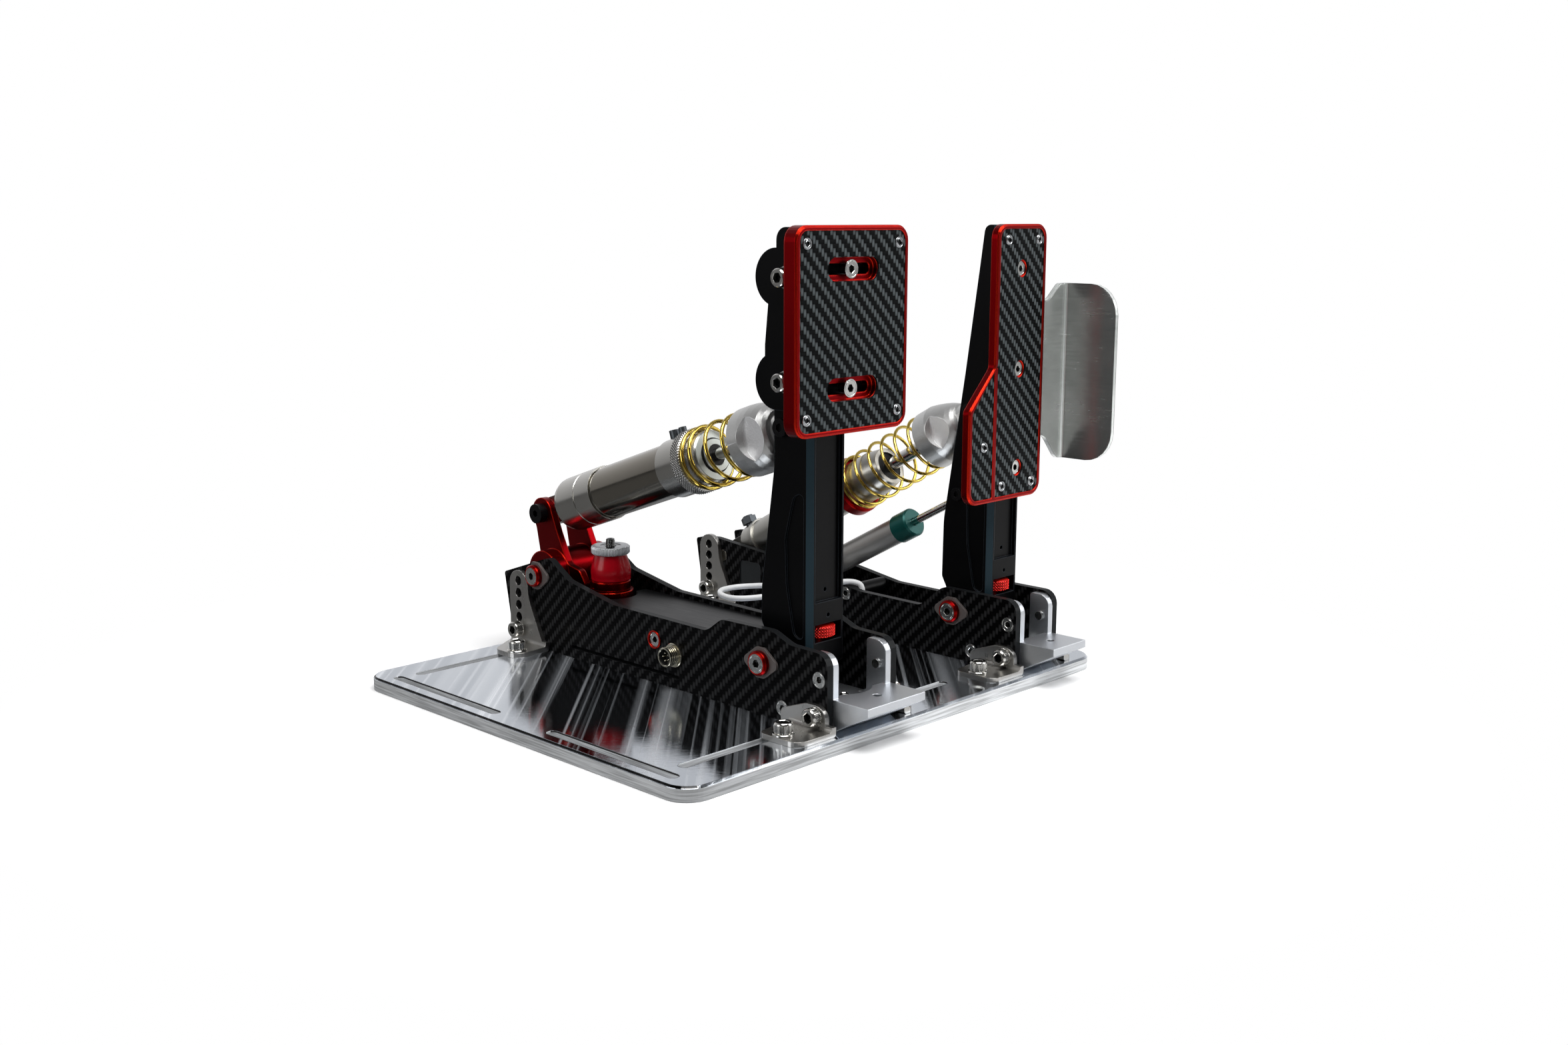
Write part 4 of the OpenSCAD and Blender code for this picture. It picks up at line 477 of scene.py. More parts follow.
# a new object with its doubles merged, its faces outwards and its edges sharp past an angle in degrees
def newPiece(name, verts, faces, look, sharp):
    mesh = bpy.data.meshes.new(name)
    mesh.from_pydata([tuple(p) for p in verts], [], faces)
    mesh.validate()
    o = bpy.data.objects.new(name, mesh)
    scene.collection.objects.link(o)
    mesh.materials.append(looks[look])
    bm = bmesh.new()
    bm.from_mesh(mesh)
    bmesh.ops.remove_doubles(bm, verts=bm.verts, dist=1e-7)
    bmesh.ops.recalc_face_normals(bm, faces=bm.faces)
    for f in bm.faces:
        f.smooth = True
    for e in bm.edges:
        if len(e.link_faces) == 2 and e.calc_face_angle(0) > math.radians(sharp):
            e.smooth = False
    bm.to_mesh(mesh)
    bm.free()
    return o


# a turned shape from (radius, height) points; relief(angle, height) may move each point outwards
def turned(profile, sides, matrix, relief=None):
    verts = []
    for r, h in profile:
        for k in range(sides):
            a = fullTurn * k / sides
            verts.append(matrix @ ringPoint(r + (relief(a, h) if relief and r > 0 else 0), a, h))
    return verts, bands(len(profile), sides, True)


# how deep each point lies in a knurl, 0 on the tips and 1 in the cuts, and 0 on the flat ends, for the finish
# to paint shade into the cuts
def markCutShade(o, matrix, radius, depth, reach=1.3):
    back = matrix.inverted()
    cut = o.data.attributes.new("cut", "FLOAT", "POINT")
    for v in o.data.vertices:
        q = back @ v.co
        r = math.hypot(q.x, q.y)
        deep = min(1.0, max(0.0, (radius - r) / depth))
        cut.data[v.index].value = deep if r > radius - depth * reach else 0.0


# paints the faces picked by a test in a second finish
def paint(o, look, test):
    o.data.materials.append(looks[look])
    for f in o.data.polygons:
        if test(f):
            f.material_index = len(o.data.materials) - 1


# rows of points between two heights at one radius
def wallRows(r, lo, hi, rows):
    return [(r, lo + (hi - lo) * i / rows) for i in range(rows + 1)]


# an object of bare points, for a node tree to grow a shape on
def barePoints(name, points, edges):
    mesh = bpy.data.meshes.new(name)
    mesh.from_pydata([tuple(p) for p in points], edges, [])
    o = bpy.data.objects.new(name, mesh)
    scene.collection.objects.link(o)
    return o


# runs a node tree on an object and keeps what it makes as a plain mesh
def grow(o, name, group, values):
    socketOf = {item.name: item.identifier for item in group.interface.items_tree}
    mod = o.modifiers.new("grow", "NODES")
    mod.node_group = group
    for label, value in values.items():
        mod[socketOf[label]] = value
    dg = bpy.context.evaluated_depsgraph_get()
    dg.update()
    mesh = bpy.data.meshes.new_from_object(o.evaluated_get(dg))
    mesh.name = name
    out = bpy.data.objects.new(name, mesh)
    scene.collection.objects.link(out)
    bpy.data.objects.remove(o)
    return out


# both node trees end in real faces of the finish that is asked for
def endTree(g, shape, given, made):
    real = addNode(g, "GeometryNodeRealizeInstances", {0: shape.outputs[0]})
    finished = addNode(g, "GeometryNodeSetMaterial", {
        "Geometry": real.outputs[0], "Material": given["Finish"]})
    wire(g, finished.outputs[0], made[0])
    return g


# a round wire swept along a path
def wireTree():
    g, given, made = newGroup("sweptWire", {
        "Path": "Geometry", "Wire Radius": "Float", "Sides": "Int", "Finish": "Material"},
        {"Wire": "Geometry"}, "GeometryNodeTree")
    path = addNode(g, "GeometryNodeMeshToCurve", {0: given["Path"]})
    circle = addNode(g, "GeometryNodeCurvePrimitiveCircle", {
        "Radius": given["Wire Radius"], "Resolution": given["Sides"]})
    sweep = addNode(g, "GeometryNodeCurveToMesh", {
        "Curve": path.outputs[0], "Profile Curve": circle.outputs[0], "Fill Caps": True})
    return endTree(g, sweep, given, made)


wireNodes = wireTree()


def sweptWire(name, points, radius, sides, look):
    o = barePoints(name + "Path", points, [(i, i + 1) for i in range(len(points) - 1)])
    out = grow(o, name, wireNodes, {"Wire Radius": radius, "Sides": sides, "Finish": looks[look]})
    for f in out.data.polygons:
        f.use_smooth = len(f.vertices) < 5  # the caps stay flat
    return out


def lookup(table, t):
    for (a, sa), (b, sb) in zip(table, table[1:]):
        if t <= b:
            return sa + (sb - sa) * (t - a) / (b - a)
    return table[-1][1]


def smoothTable(table, t, spread):
    return (lookup(table, t - spread) + 2 * lookup(table, t) + lookup(table, t + spread)) / 4


cylinderRear, cylinderAxis = jointPlace("cylinder_hinge"), -jointAxis("brake_rod_slide")
damperRear, damperAxis = jointPlace("damper_hinge"), -jointAxis("damper_rod_slide")

# turns are (turn, distance from the rear pin); the spring is squashed between its seat and the knob
brakeSpringSet = {"wire": 0.0023, "radius": 0.0176, "seat": 0.1409, "knob": 0.1825,
                  "turns": [(-0.15, 0.14205), (0.52, 0.1432), (1.52, 0.1502), (2.52, 0.1646),
                            (3.52, 0.1787), (4.15, 0.18135)],
                  "joint": "brake_rod_slide", "body": "cylinder", "node": "brake_spring"}
throttleSpringSet = {"wire": 0.0020, "radius": 0.0173, "seat": 0.122, "knob": 0.1919,
                     "turns": [(-0.1, 0.123), (0.52, 0.1244), (1.52, 0.1276), (2.52, 0.1395), (3.52, 0.1528),
                               (4.52, 0.1647), (5.52, 0.177), (6.52, 0.1892), (7.1, 0.1909)],
                     "joint": "damper_rod_slide", "body": "damper", "node": "throttle_spring"}
windSet = {"steps": 36, "sides": 14, "blend": 0.12}  # steps a turn, wire's sides, easing of the pitch


def spring(name, s, rear, along):
    m = axisMatrix(rear, along)
    first, last = s["turns"][0][0], s["turns"][-1][0]
    steps = int((last - first) * windSet["steps"])
    points = []
    for i in range(steps + 1):
        t = first + (last - first) * i / steps
        points.append(m @ ringPoint(s["radius"], fullTurn * t, smoothTable(s["turns"], t, windSet["blend"])))
    o = sweptWire(name, points, s["wire"] / 2, windSet["sides"], "springWire")
    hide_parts(s["node"])
    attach(o, s["body"])
    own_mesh(o)


spring("brakeSpring", brakeSpringSet, cylinderRear, cylinderAxis)
spring("throttleSpring", throttleSpringSet, damperRear, damperAxis)
print("springs wound")


# a row of peaks: 1 at each whole number and 0 halfway between two
def peak(x):
    return abs((x % 1.0) * 2 - 1)


knurlSet = {"mean": 0.6,  # middle level, as a share of the depth
            "ends": 0.5,  # how far the plain ends are cut back
            "edge": 0.9,  # how far out the knurl runs into its chamfer
            # depth share at which the painted shade in the cuts is full
            "full": 0.6}  # share of the depth that already looks fully dark


def diamondKnurl(count, radius, depth, lo, hi):
    lead = count / (fullTurn * radius)  # cuts per metre, the same up the side as round it

    def relief(a, h):
        if h < lo or h > hi:
            return -depth * knurlSet["ends"]
        p = a * count / fullTurn
        q = h * lead
        return depth * (min(peak(p + q), peak(p - q)) - knurlSet["mean"])
    return relief


wheelSet = {"height": 0.0066, "cap": 0.0007, "spindle": 0.003, "chamfer": 0.0003, "cuts": 36, "depth": 0.0008,
            "sides": 288, "rows": 16}


def knurledWheel(name, node, body):
    s = wheelSet
    m, lo, hi = uprightBox(node)
    r, cap, pin, chamfer = (hi.x - lo.x) / 2, s["cap"], s["spindle"], s["chamfer"]
    middle = jointPlace(body + "_spin").z
    z0, z1 = middle - s["height"] / 2, middle + s["height"] / 2
    profile = ([(0.0, lo.z), (pin - chamfer, lo.z), (pin, lo.z + chamfer), (pin, z0), (r - cap, z0)]
               + wallRows(r, z0 + cap, z1 - cap, s["rows"])
               + [(r - cap, z1), (pin, z1), (pin, hi.z - chamfer), (pin - chamfer, hi.z), (0.0, hi.z)])
    edge = cap * knurlSet["edge"]
    relief = diamondKnurl(s["cuts"], r, s["depth"], z0 + edge, z1 - edge)
    verts, faces = turned(profile, s["sides"], m, relief)
    o = newPiece(name, verts, faces, "redWheel", 60)
    markCutShade(o, m, r, s["depth"] * knurlSet["full"])
    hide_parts(node)
    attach(o, body)


knurledWheel("brakeWheel", "brake_thumbwheel", "brake_wheel")
knurledWheel("throttleWheel", "throttle_thumbwheel", "throttle_wheel")

# low and high are distances from the cylinder's rear pin
ringSet = {"low": 0.1332, "high": 0.1409, "radius": 0.0188, "bore": 0.01506, "cap": 0.0008, "cuts": 72,
           "depth": 0.0007, "sides": 504, "rows": 20, "plain": 0.0001}


def springRing():
    s = ringSet
    m = axisMatrix(cylinderRear, cylinderAxis)
    r, low, high, cap = s["radius"], s["low"], s["high"], s["cap"]
    profile = ([(s["bore"], low), (r - cap, low)] + wallRows(r, low + cap, high - cap, s["rows"])
               + [(r - cap, high), (s["bore"], high)])
    edge = cap * knurlSet["edge"]
    relief = diamondKnurl(s["cuts"], r, s["depth"], low + edge, high - edge)
    verts, faces = turned(profile, s["sides"], m, lambda a, h: relief(a, h) if h > low + s["plain"] else 0)
    o = newPiece("springRing", verts, faces, "ringSteel", 60)
    markCutShade(o, m, r, s["depth"] * knurlSet["full"])
    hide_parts("spring_ring")
    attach(o, "spring_ring")


# the middle of the top is sunk, from outer to inner as shares of the nut's radius
nutSet = {"cuts": 80, "depth": 0.0005, "cap": 0.0007, "bore": 0.00296, "outer": 0.55, "inner": 0.53,
          "sunk": 0.0003, "mouth": 0.0006, "mouthDeep": 0.0009, "sides": 540, "topFacing": 0.6}


def preloadNut():
    s = nutSet
    m, lo, hi = uprightBox("preload_nut")
    r, c, bore = (hi.x - lo.x) / 2, s["cap"], s["bore"]
    edge = c * knurlSet["edge"]

    def knurl(a, h):
        if not lo.z + edge < h < hi.z - edge:
            return 0
        return s["depth"] * (peak(a * s["cuts"] / fullTurn) - 0.5) - s["depth"] * 0.5  # tips at the radius

    sunk = hi.z - s["sunk"]
    profile = [(bore, lo.z), (r - c, lo.z), (r, lo.z + c), (r, hi.z - c), (r - c, hi.z),
               (r * s["outer"], hi.z), (r * s["inner"], sunk), (bore + s["mouth"], sunk),
               (bore, hi.z - s["mouthDeep"])]
    verts, faces = turned(profile, s["sides"], m, knurl)
    o = newPiece("preloadNut", verts, faces, "nutSideLit", 50)
    markCutShade(o, m, r, s["depth"])
    # the top faces take the darker copy, painted shade beside the side's painted highlight
    paint(o, "nutTopShaded", lambda f: abs(f.normal.z) > s["topFacing"])
    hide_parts("preload_nut")
    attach(o, "preload_nut")


studSet = {"radius": 0.0029, "pitch": 0.001, "depth": 0.00045, "pitchRows": 8, "runOut": 0.8, "socket": 0.0016,
           "deep": 0.0022, "collar": 0.0051, "collarHigh": 0.0024, "sides": 48}


# stud with a rolled thread, a hex socket in its end and a hex collar on the load cell
def stud():
    s = studSet
    m, lo, hi = uprightBox("elastomer_stud")
    sides, depth = s["sides"], s["depth"]
    angles = [fullTurn * k / sides for k in range(sides)]
    rows = int((hi.z - lo.z) / s["pitch"] * s["pitchRows"])
    verts = []
    for i in range(rows + 1):
        h = lo.z + (hi.z - lo.z) * i / rows
        fade = min(1.0, (hi.z - h) / s["pitch"])
        for a in angles:
            cut = peak((h / s["pitch"]) - a / fullTurn)
            verts.append(m @ ringPoint(s["radius"] - depth * cut - (1 - fade) * depth * s["runOut"], a, h))
    lip = len(verts)
    for h in (hi.z, hi.z - s["deep"]):
        verts += [m @ ringPoint(s["socket"] * math.cos(math.pi / 6) / hexCos(a), a, h) for a in angles]
    faces = bands(rows + 3, sides)
    faces.append(tuple(lip + sides + k for k in range(sides)))
    faces.append(tuple(reversed(range(sides))))
    base = len(verts)
    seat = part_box("load_cell")[1].z
    for h in (seat, seat + s["collarHigh"]):
        verts += [m @ ringPoint(s["collar"], math.pi / 3 * k, h) for k in range(6)]
    faces += band(base, base + 6, 6)
    faces.append(tuple(base + k for k in reversed(range(6))))
    faces.append(tuple(base + 6 + k for k in range(6)))
    o = newPiece("stud", verts, faces, "studSteel", 30)
    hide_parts("elastomer_stud")
    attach(o, "base")


# each kind of screw is one shape, set on its points with a chance turn about its own axis
def screwTree():
    g, given, made = newGroup("screwsOnPoints", {
        "Points": "Geometry", "Screw": "Object", "Seed": "Int", "Finish": "Material"},
        {"Screws": "Geometry"}, "GeometryNodeTree")
    info = addNode(g, "GeometryNodeObjectInfo", {"Object": given["Screw"]})
    way = addNode(g, "GeometryNodeInputNamedAttribute", {"Name": "facing"}, data_type="FLOAT_VECTOR")
    turn = addNode(g, "FunctionNodeEulerToRotation", {0: way.outputs["Attribute"]})
    chance = addNode(g, "FunctionNodeRandomValue", {"Max": fullTurn, "Seed": given["Seed"]})
    spin = addNode(g, "ShaderNodeCombineXYZ", {"Z": next(o for o in chance.outputs if o.enabled)})
    twist = addNode(g, "FunctionNodeEulerToRotation", {0: spin.outputs[0]})
    both = addNode(g, "FunctionNodeRotateRotation", {0: turn.outputs[0], 1: twist.outputs[0]},
                   rotation_space="LOCAL")
    place = addNode(g, "GeometryNodeInstanceOnPoints", {
        "Points": given["Points"], "Instance": info.outputs["Geometry"], "Rotation": both.outputs[0]})
    return endTree(g, place, given, made)


screwNodes = screwTree()

# every third point of a cap head's side is a groove; the grooves and the socket's floor get painted shade;
# slack and inside find the socket's points
screwForm = {"every": 3, "grooveShade": 0.85, "socketShade": 1.0, "slack": 0.00001, "inside": 1.2, "sharp": 35}


# rings run from the tip to the socket floor as (radius, height, hex share); grooves are (depth, low, high)
def screwShape(rings, look, sides=48, grooves=None):
    form = screwForm
    verts = []

    def grooved(k, h):
        return bool(grooves) and grooves[1] <= h <= grooves[2] and k % form["every"] == 0

    for r, h, hexed in rings:
        for k in range(sides):
            a = fullTurn * k / sides
            rr = r * (1 + hexed * (1 / hexCos(a) - 1))
            verts.append(ringPoint(rr - grooves[0] if grooved(k, h) else rr, a, h))
    o = newPiece("screwShape", verts, bands(len(rings), sides), look, form["sharp"])
    # painted shade: the grooves and the socket's floor are marked dark in the cut attribute
    cut = o.data.attributes.new("cut", "FLOAT", "POINT")
    low, high = rings[-1][1] - form["slack"], rings[-2][1] + form["slack"]
    inside = rings[-2][0] * form["inside"]
    for v in o.data.vertices:
        k = round(math.atan2(v.co.y, v.co.x) / (fullTurn / sides)) % sides
        floor = low <= v.co.z <= high and math.hypot(v.co.x, v.co.y) < inside
        dark = form["grooveShade"] if grooved(k, v.co.z) else 0.0
        cut.data[v.index].value = form["socketShade"] if floor else dark
    return o


# countersunk: socket, groove and floors are shares of the radius or the head's depth, the rest is in metres
flatForm = {"socket": 0.38, "under": 0.0002, "edge": 0.0003, "lip": 0.00012, "groove": (0.86, 0.83, 0.8),
            "grooveDeep": 0.00016, "mouth": 0.0002, "floor": 0.75, "middle": 0.95}


def flatHead(radius, shank, long):
    f, r, deep = flatForm, radius, radius - shank
    s, g = radius * f["socket"], f["groove"]
    return screwShape([(0, -long, 0), (shank, -long, 0), (shank, -deep, 0), (r - f["under"], -f["edge"], 0),
                       (r, -f["lip"], 0), (r - f["lip"], 0, 0), (r * g[0], 0, 0),
                       (r * g[1], -f["grooveDeep"], 0), (r * g[2], 0, 0), (s + f["mouth"], 0, 1),
                       (s, -f["mouth"], 1), (s, -deep * f["floor"], 1), (0, -deep * f["middle"], 0)],
                      "headSteel")


# low head: steps are (in from the rim, height), wall the heights of the socket's mouth, edge and foot
lowForm = {"socket": 0.4, "mouth": 0.0002, "wall": (0.0008, 0.0006, 0.0001),
           "steps": ((0, 0), (0, 0.0003), (0.0002, 0.0006), (0.0006, 0.0006), (0.0008, 0.0003),
                     (0.0015, 0.0006))}


def lowHead(radius, shank, long):
    f, s = lowForm, radius * lowForm["socket"]
    mouth, edge, foot = f["wall"]
    return screwShape([(0, -long, 0), (shank, -long, 0), (shank, 0, 0)]
                      + [(radius - step, h, 0) for step, h in f["steps"]]
                      + [(s + f["mouth"], mouth, 1), (s, edge, 1), (s, foot, 1), (0, 0, 0)], "dimSteel")


# cap head: foot and crown are (in from the rim, up from the seat or down from the top)
capForm = {"socket": 0.5, "washerEdge": 0.0002, "washerTop": 0.0003, "mouth": 0.0003, "floor": 0.42,
           "middle": 0.34, "foot": ((0.0004, 0), (0.0004, 0.0001), (0, 0.0005), (0, 0.0007)),
           "crown": ((0, 0.0013), (0, 0.0011), (0.0002, 0.0005), (0.0008, 0)), "groove": 0.0003,
           "grooveFrom": 0.0006, "grooveTo": 0.0012, "sides": 108}


def capHead(radius, high, shank, long, washer=None):
    f, r, h, s = capForm, radius, high, radius * capForm["socket"]
    under = [(shank, 0, 0)]
    if washer:
        wide, thick = washer
        under = [(shank, -thick, 0), (wide - f["washerEdge"], -thick, 0), (wide, -thick + f["washerEdge"], 0),
                 (wide, -f["washerTop"], 0), (wide - f["washerTop"], 0, 0)]
    return screwShape([(0, -long, 0), (shank, -long, 0)] + under
                      + [(r - step, up, 0) for step, up in f["foot"]]
                      + [(r - step, h - down, 0) for step, down in f["crown"]]
                      + [(s + f["mouth"], h, 1), (s, h - f["mouth"], 1), (s, h * f["floor"], 1),
                         (0, h * f["middle"], 0)],
                      "screwSteel", f["sides"], (f["groove"], f["grooveFrom"], h - f["grooveTo"]))


# spots are (place in millimetres, direction that the head faces)
def setScrews(name, shape, spots, body, seed, replaced=None):
    o = barePoints(name + "Spots", [[c / 1000 for c in at] for at, out in spots], [])
    ways = o.data.attributes.new("facing", "FLOAT_VECTOR", "POINT")
    for i, (at, out) in enumerate(spots):
        ways.data[i].vector = Vector(out).to_track_quat("Z", "Y").to_euler()
    o = grow(o, name, screwNodes, {"Screw": shape, "Seed": seed, "Finish": shape.data.materials[0]})
    bpy.data.objects.remove(shape)
    if replaced:
        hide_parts(replaced)
    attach(o, body)


# middle and half width of each module, then where the screws are in millimetres
screwSet = {"modules": [(-34.8, 27.2), (120.6, 20.5)], "plate": [(-122.9, 35.9), (-96.5, 14.9), (5.5, 33.6)],
            "legs": [(-123.1, 17.2), (130.2, 17.9)], "legOut": 3, "pivotOut": 5, "footHigh": 12.2,
            "foot": [(-84.5, -119.5), (-82.8, 109), (3.9, -104.5), (13.2, 109), (77.6, -119.5), (79.3, 109),
                     (152.6, -104.5), (161.9, 109)],
            "pivots": [(-62, -81.5, 37.4), (-7.6, -81.5, 37.4), (100.1, -81.5, 37.4), (141.1, -81.5, 37.4),
                       (-62, 114.5, 54), (-7.6, 114.5, 54)],
            "floor": [(-31.2, -113.1, 17.7), (124.2, -113.1, 17.7)],
            "carrier": [(-54.3, -1), (-15.3, 1)], "carrierY": -91, "carrierZ": (241, 187.4),
            "brakeCorners": [(x, -120, z) for x in (-69.2, 0.2) for z in (258.5, 171.3)],
            "brakeSlots": [(-34.8, -118.8, z) for z in (245.6, 185)],
            "throttleCorners": [(120.6 + x, -111.9, z) for x, z in
                                ((-14.3, 258.6), (14.7, 258.6), (-33, 141.1), (-15.4, 116.5), (13.6, 116.5))],
            "throttleBolts": [(120.6, -110.3, z) for z in (242.2, 184.2, 126)]}

# radius, shank and length in metres; a cap head's are radius, height, shank, length and washer
headSet = {"plate": (0.0044, 0.0025, 0.010), "pivot": (0.0054, 0.003, 0.017),
           "brakeCorner": (0.0031, 0.0015, 0.006), "brakeSlot": (0.0049, 0.0025, 0.011),
           "throttleCorner": (0.0031, 0.0015, 0.004), "throttleBolt": (0.0042, 0.0025, 0.010),
           "foot": (0.005, 0.0058, 0.003, 0.0112, (0.0059, 0.0012)), "leg": (0.005, 0.0058, 0.003, 0.0075),
           "floor": (0.0027, 0.0026, 0.0015, 0.0055),
           "carrier": (0.005, 0.0058, 0.0044, 0.014, (0.0058, 0.001))}


def screws():
    s, size = screwSet, headSet
    front, up, steel, sunk = (0, -1, 0), (0, 0, 1), "cap_screw_steel", "countersunk_steel"
    sides = [(m + side * w, side) for m, w in s["modules"] for side in (-1, 1)]
    setScrews("plateScrews", flatHead(*size["plate"]),
              [((x, y, z), (side, 0, 0)) for x, side in sides for y, z in s["plate"]],
              "base", 3, "side_screws")
    setScrews("pivotScrews", flatHead(*size["pivot"]),
              [((x + s["pivotOut"] * side, y, z), (side, 0, 0))
               for (x, y, z), side in zip(s["pivots"], (-1, 1) * 3)], "base", 5, "pivot_screws")
    setScrews("footScrews", capHead(*size["foot"]), [((x, y, s["footHigh"]), up) for x, y in s["foot"]],
              "base", 7, "cap_screws")
    setScrews("legScrews", capHead(*size["leg"]),
              [((x + s["legOut"] * side, y, z), (side, 0, 0)) for x, side in sides for y, z in s["legs"]],
              "base", 11)
    setScrews("floorScrews", capHead(*size["floor"]), [(at, up) for at in s["floor"]], "base", 13)
    setScrews("carrierScrews", capHead(*size["carrier"]),
              [((x + side, s["carrierY"], z), (side, 0, 0))
               for x, side in s["carrier"] for z in s["carrierZ"]], "brake_pedal", 17, "carrier_screws")
    setScrews("brakeCornerScrews", lowHead(*size["brakeCorner"]), [(at, front) for at in s["brakeCorners"]],
              "brake_pedal", 19, "brake_face_screws")
    setScrews("brakeSlotScrews", flatHead(*size["brakeSlot"]), [(at, front) for at in s["brakeSlots"]],
              "brake_pedal", 23)
    setScrews("throttleCornerScrews", lowHead(*size["throttleCorner"]),
              [(at, front) for at in s["throttleCorners"]],
              "throttle_pedal", 29, "throttle_face_screws")
    setScrews("throttleBolts", flatHead(*size["throttleBolt"]), [(at, front) for at in s["throttleBolts"]],
              "throttle_pedal", 31)


screws()
print("screws set")

# shape is the bell's side as (radius, height) from its foot
bellSet = {"bore": 0.0035, "keepTravel": 0.0019, "steps": 3, "sides": 96,
           "shape": [(0.0118, 0.0), (0.0121, 0.0004), (0.0121, 0.002), (0.0123, 0.0045), (0.0122, 0.0066),
                     (0.0119, 0.0082), (0.0112, 0.0105), (0.0105, 0.0128), (0.0098, 0.0150), (0.0095, 0.0157),
                     (0.0090, 0.0161)]}


# red polyurethane bell under the nut
def elastomer():
    s = bellSet
    m, lo, hi = uprightBox("elastomer")
    m.translation.z = lo.z
    side = [tuple(p) for p in curveThrough([Vector(p) for p in s["shape"]], s["steps"])]
    verts, faces = turned([(s["bore"], 0.0)] + side + [(s["bore"], hi.z - lo.z)], s["sides"], m)
    o = newPiece("elastomerBell", verts, faces, "redElastomer", 60)
    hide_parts("elastomer")
    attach(o, "base")
    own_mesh(o)


# heights run out from the side plate; a thread is (in from the barrel, up from its start)
socketSet = {"place": (-0.062, -0.0115, 0.0278), "back": 0.0105, "body": 0.006, "flange": 0.007,
             "thick": 0.0016, "barrel": 0.0056, "end": 0.008, "mouth": 0.0045, "deep": 0.0032,
             "chamfer": 0.0003, "sides": 72, "threads": 4, "start": 0.0022, "pitch": 0.0013,
             "thread": ((0, 0), (0.0004, 0.0003), (0.0004, 0.0005), (0, 0.0008)),
             "pins": 5, "pinRing": 0.0024, "pinSides": 16,
             "pin": [(0, 0.003), (0.0006, 0.003), (0.0006, 0.0066), (0.0003, 0.007), (0, 0.007)],
             # dark marks where the mouth is painted with shade
             "dark": {"wider": 0.0001, "from": 0.003, "lip": 0.0006, "offPins": 0.0008}}


# threaded connector with an open mouth and pins
def leadSocket():
    s = socketSet
    c, b, e, f, mouth = s["chamfer"], s["barrel"], s["end"], s["flange"], s["mouth"]
    m = axisMatrix(s["place"], (-1, 0, 0))
    starts = [s["start"] + s["pitch"] * i for i in range(s["threads"])]
    cuts = [(b - step, start + up) for start in starts for step, up in s["thread"]]
    profile = ([(0, -s["back"]), (s["body"], -s["back"]), (s["body"], 0), (f, 0), (f, s["thick"] - c),
                (f - c, s["thick"]), (b, s["thick"])] + cuts
               + [(b, e - c), (b - c, e), (mouth + c, e), (mouth, e - c), (mouth, s["deep"]), (0, s["deep"])])
    verts, faces = turned(profile, s["sides"], m)
    pins = [ringPoint(s["pinRing"], fullTurn * i / s["pins"], 0) for i in range(s["pins"])]
    for at in pins:
        addShape(verts, faces, *turned(s["pin"], s["pinSides"], m @ Matrix.Translation(at)))
    o = newPiece("leadSocket", verts, faces, "nickel", 40)
    back = m.inverted()

    def inside(face):
        q, d = back @ face.center, s["dark"]
        return (math.hypot(q.x, q.y) < mouth + d["wider"] and d["from"] < q.z < e - d["lip"]
                and min(math.hypot(q.x - at.x, q.y - at.y) for at in pins) > d["offPins"])
    # the inside of the mouth, clear of the pins, is painted dark as shade
    paint(o, "shadedBore", inside)
    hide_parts("lead_socket")
    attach(o, "base")


sealSet = {"low": 0.1485, "high": 0.1512, "bore": 0.00432, "radius": 0.00935, "lipOut": 0.0006,
           "lipIn": 0.0016, "lipHigh": 0.0006, "sides": 64}


# wiper seal in the nose of the throttle damper
def damperSeal():
    s = sealSet
    bore, r, low, high, foot = s["bore"], s["radius"], s["low"], s["high"], s["high"] - s["lipHigh"]
    profile = [(bore, low), (r, low), (r, foot), (bore + s["lipIn"], foot), (bore + s["lipOut"], high),
               (bore, high)]
    verts, faces = turned(profile, s["sides"], axisMatrix(damperRear, damperAxis))
    o = newPiece("damperSeal", verts, faces, "sealBlack", 40)
    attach(o, "damper")


# rings are (bore, radius, low, high)
seatSet = {"rings": ((0.0061, 0.0094, 0.1525, 0.153), (0.0101, 0.0142, 0.151, 0.1516)), "cut": 0.0002,
           "sides": 96}


# satin washer and seat ring round the rod at the front of the cylinder
def frontSeat():
    m, c = axisMatrix(cylinderRear, cylinderAxis), seatSet["cut"]
    verts, faces = [], []
    for bore, r, low, high in seatSet["rings"]:
        profile = [(bore, low), (r, low), (r, high - c), (r - c, high), (bore + c, high), (bore, high - c)]
        addShape(verts, faces, *turned(profile, seatSet["sides"], m))
    o = newPiece("frontSeat", verts, faces, "satinSeat", 40)
    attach(o, "cylinder")


leadSocket()
damperSeal()
frontSeat()
springRing()
preloadNut()
stud()
elastomer()
print("knurled and turned pieces made")

# smooth white cable through the same points as the CAD lead, in millimetres from the module's left plate
leadSet = {"radius": 0.0018, "left": 0.1001, "steps": 10, "sides": 16,
           "points": [(7, -2.4, 33.6), (7, -2.8, 36.6), (6.2, -1, 39.8), (2.4, 3.6, 41.2), (-2.4, 8.6, 40.6),
                      (-4, 20, 37), (-5, 50, 32.5), (-12, 73, 29.5), (-22, 84, 28.4), (-34, 85, 28),
                      (-43, 75, 28), (-43, 62, 28), (-32, 51, 28.8), (-17, 38, 32), (-6, 26, 39),
                      (-2, 20.5, 43), (3.4, 20, 43.7), (7, 19.6, 40.9), (7.2, 16.5, 36.2), (7, 12.5, 33.6)]}


def lead():
    s = leadSet
    points = [Vector((s["left"] + x / 1000, y / 1000, z / 1000)) for x, y, z in s["points"]]
    o = sweptWire("leadCable", curveThrough(points, s["steps"]), s["radius"], s["sides"], "whiteJacket")
    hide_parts("sensor_lead")
    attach(o, "base")


lead()
print("lead laid")

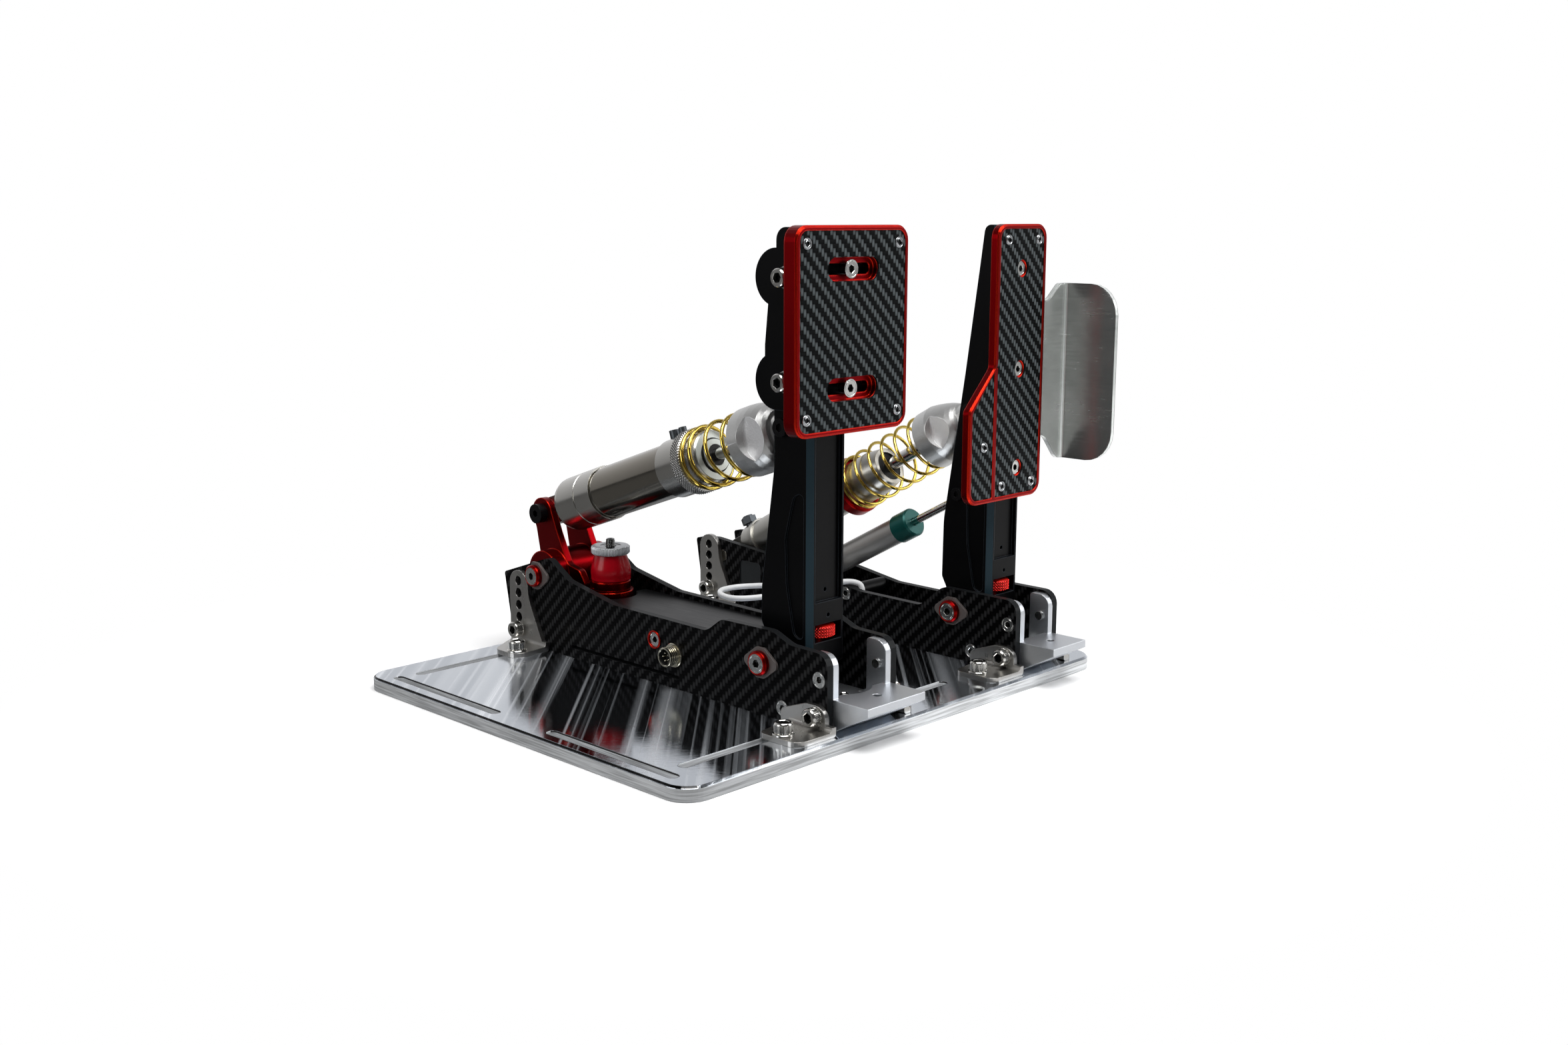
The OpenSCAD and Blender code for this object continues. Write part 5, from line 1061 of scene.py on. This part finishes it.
# which CAD nodes wear each finish
wornBy = {
    "mirrorPlate": "base_plate", "bracketSteel": "front_brackets rear_brackets",
    "sideCarbon": "brake_plate_left brake_plate_right throttle_plate_left throttle_plate_right",
    "faceCarbon": "brake_inlay throttle_inlays", "heelAluminium": "brake_heel throttle_heel",
    "darkCover": "brake_cover", "greyPanel": "sensor_cover", "bossBlack": "boss_plates",
    "blackAnodised": "standoffs brake_arm brake_carrier throttle_arm",
    "blackOxide": "rocker_pin brake_clevis_pin throttle_clevis_pins",
    "redAnodised": "cup_washers rocker elastomer_cup brake_face throttle_face damper_collar",
    "turnedSteel": "pivot_axles cylinder_tube", "turnedCap": "cylinder_cap cylinder_sleeve",
    "sealBlack": "cylinder_seal", "cellGrey": "load_cell cylinder_fittings damper_fitting",
    "polishedRod": "cylinder_rod damper_rod slim_damper_rod", "blastedAluminium": "cylinder_knob damper_knob",
    "wingSteel": "wing_plate", "damperSatin": "damper_tube", "slimTube": "slim_damper",
    "tealAnodised": "slim_damper_cap",
}
for look, names in wornBy.items():
    for name in names.split():
        for slotHere in frame["nodes"][name].material_slots:
            slotHere.material = looks[look]
print("finishes set")

# white backdrop and floor with soft light: the camera sees white, and the part sees the sky's levels by
# height, dimmer behind the camera, over a floor that is darker to the left and keeps the shadow
studioSet = {"sky": [(0.0, 0.95), (0.2, 0.9), (0.34, 0.08), (0.8, 0.06), (1.0, 0.4)], "skyBlue": 1.02,
             "lookDir": (0.716, 0.698, 0.0), "dimming": (-0.15, 0.75, 0.06, 1.0),
             "floorHalf": 6, "floorTone": 0.97, "floorFade": (0.22, 0.42, 0.0, 1.0),
             "rightDir": (0.707, -0.707, 0), "floorLeft": 0.13, "floorFront": 0.25, "floorRight": 0.8,
             "rightFull": 0.7,
             "lights": {  # place, aim, width, height, power
                 "keyLight": ((-0.2, -0.5, 1.7), (0, 0, 0.08), 1.3, 0.9, 30.0),
                 "leftLight": ((-1.6, 0.5, 0.7), (0, 0, 0.1), 0.9, 1.0, 9.0),
                 "rightLight": ((1.1, -1.2, 0.9), (0, 0, 0.12), 0.8, 1.0, 12.0)}}


def backdrop():
    s = studioSet
    world = bpy.data.worlds.new("studio")
    scene.world = world
    nt = emptyTree(world)
    here = placeIn(nt, "Generated")
    ramp = addNode(nt, "ShaderNodeValToRGB", {0: parts(nt, here)["Z"]})
    stops = ramp.color_ramp.elements
    for i, (at, level) in enumerate(s["sky"]):
        stop = stops[i] if i < 1 else (stops[1] if i == len(s["sky"]) - 1 else stops.new(at))
        stop.position = at
        stop.color = (level, level, level * s["skyBlue"], 1)
    ahead = mapRange(nt, vectorCalc(nt, "DOT_PRODUCT", here, s["lookDir"]), *s["dimming"])
    lit = addNode(nt, "ShaderNodeBackground", {0: mixColor(nt, ahead, (0, 0, 0), ramp.outputs[0])})
    seen = addNode(nt, "ShaderNodeBackground", {0: (1, 1, 1), 1: 1.0})
    byCamera = addNode(nt, "ShaderNodeLightPath").outputs["Is Camera Ray"]
    mix = addNode(nt, "ShaderNodeMixShader", {0: byCamera, 1: lit.outputs[0], 2: seen.outputs[0]})
    addNode(nt, "ShaderNodeOutputWorld", {0: mix.outputs[0]})


def studioFloor():
    s = studioSet
    m, nt = newMaterial("studioFloor")
    here = placeIn(nt)
    seen = addNode(nt, "ShaderNodeLightPath").outputs["Is Camera Ray"]
    far = mapRange(nt, vectorCalc(nt, "LENGTH", here), *s["floorFade"])
    side = vectorCalc(nt, "DOT_PRODUCT", vectorCalc(nt, "NORMALIZE", here), s["rightDir"])
    near = mapRange(nt, side, -1.0, 0.0, s["floorLeft"], s["floorFront"])
    unseen = mapRange(nt, side, 0.0, s["rightFull"], near, s["floorRight"])
    unseenTone = addNode(nt, "ShaderNodeCombineColor", {0: unseen, 1: unseen, 2: unseen}).outputs[0]
    matt = addNode(nt, "ShaderNodeBsdfDiffuse", {0: mixColor(nt, seen, unseenTone, (s["floorTone"],) * 3)})
    white = addNode(nt, "ShaderNodeEmission", {0: (1, 1, 1)})
    mix = addNode(nt, "ShaderNodeMixShader", {
        0: times(nt, far, seen), 1: matt.outputs[0], 2: white.outputs[0]})
    addNode(nt, "ShaderNodeOutputMaterial", {0: mix.outputs[0]})
    mesh = bpy.data.meshes.new("floor")
    w = s["floorHalf"]
    mesh.from_pydata([(-w, -w, 0), (w, -w, 0), (w, w, 0), (-w, w, 0)], [], [(0, 1, 2, 3)])
    mesh.materials.append(m)
    floor = bpy.data.objects.new("floor", mesh)
    scene.collection.objects.link(floor)


def softbox(name, place, aim, width, height, power):
    light = bpy.data.lights.new(name, "AREA")
    light.shape = "RECTANGLE"
    light.size, light.size_y = width, height
    light.energy = power
    o = bpy.data.objects.new(name, light)
    scene.collection.objects.link(o)
    toAim = Vector(aim) - Vector(place)
    o.matrix_world = Matrix.Translation(place) @ toAim.to_track_quat("-Z", "Y").to_matrix().to_4x4()


backdrop()
studioFloor()
for name, values in studioSet["lights"].items():
    softbox(name, *values)
print("studio lit")
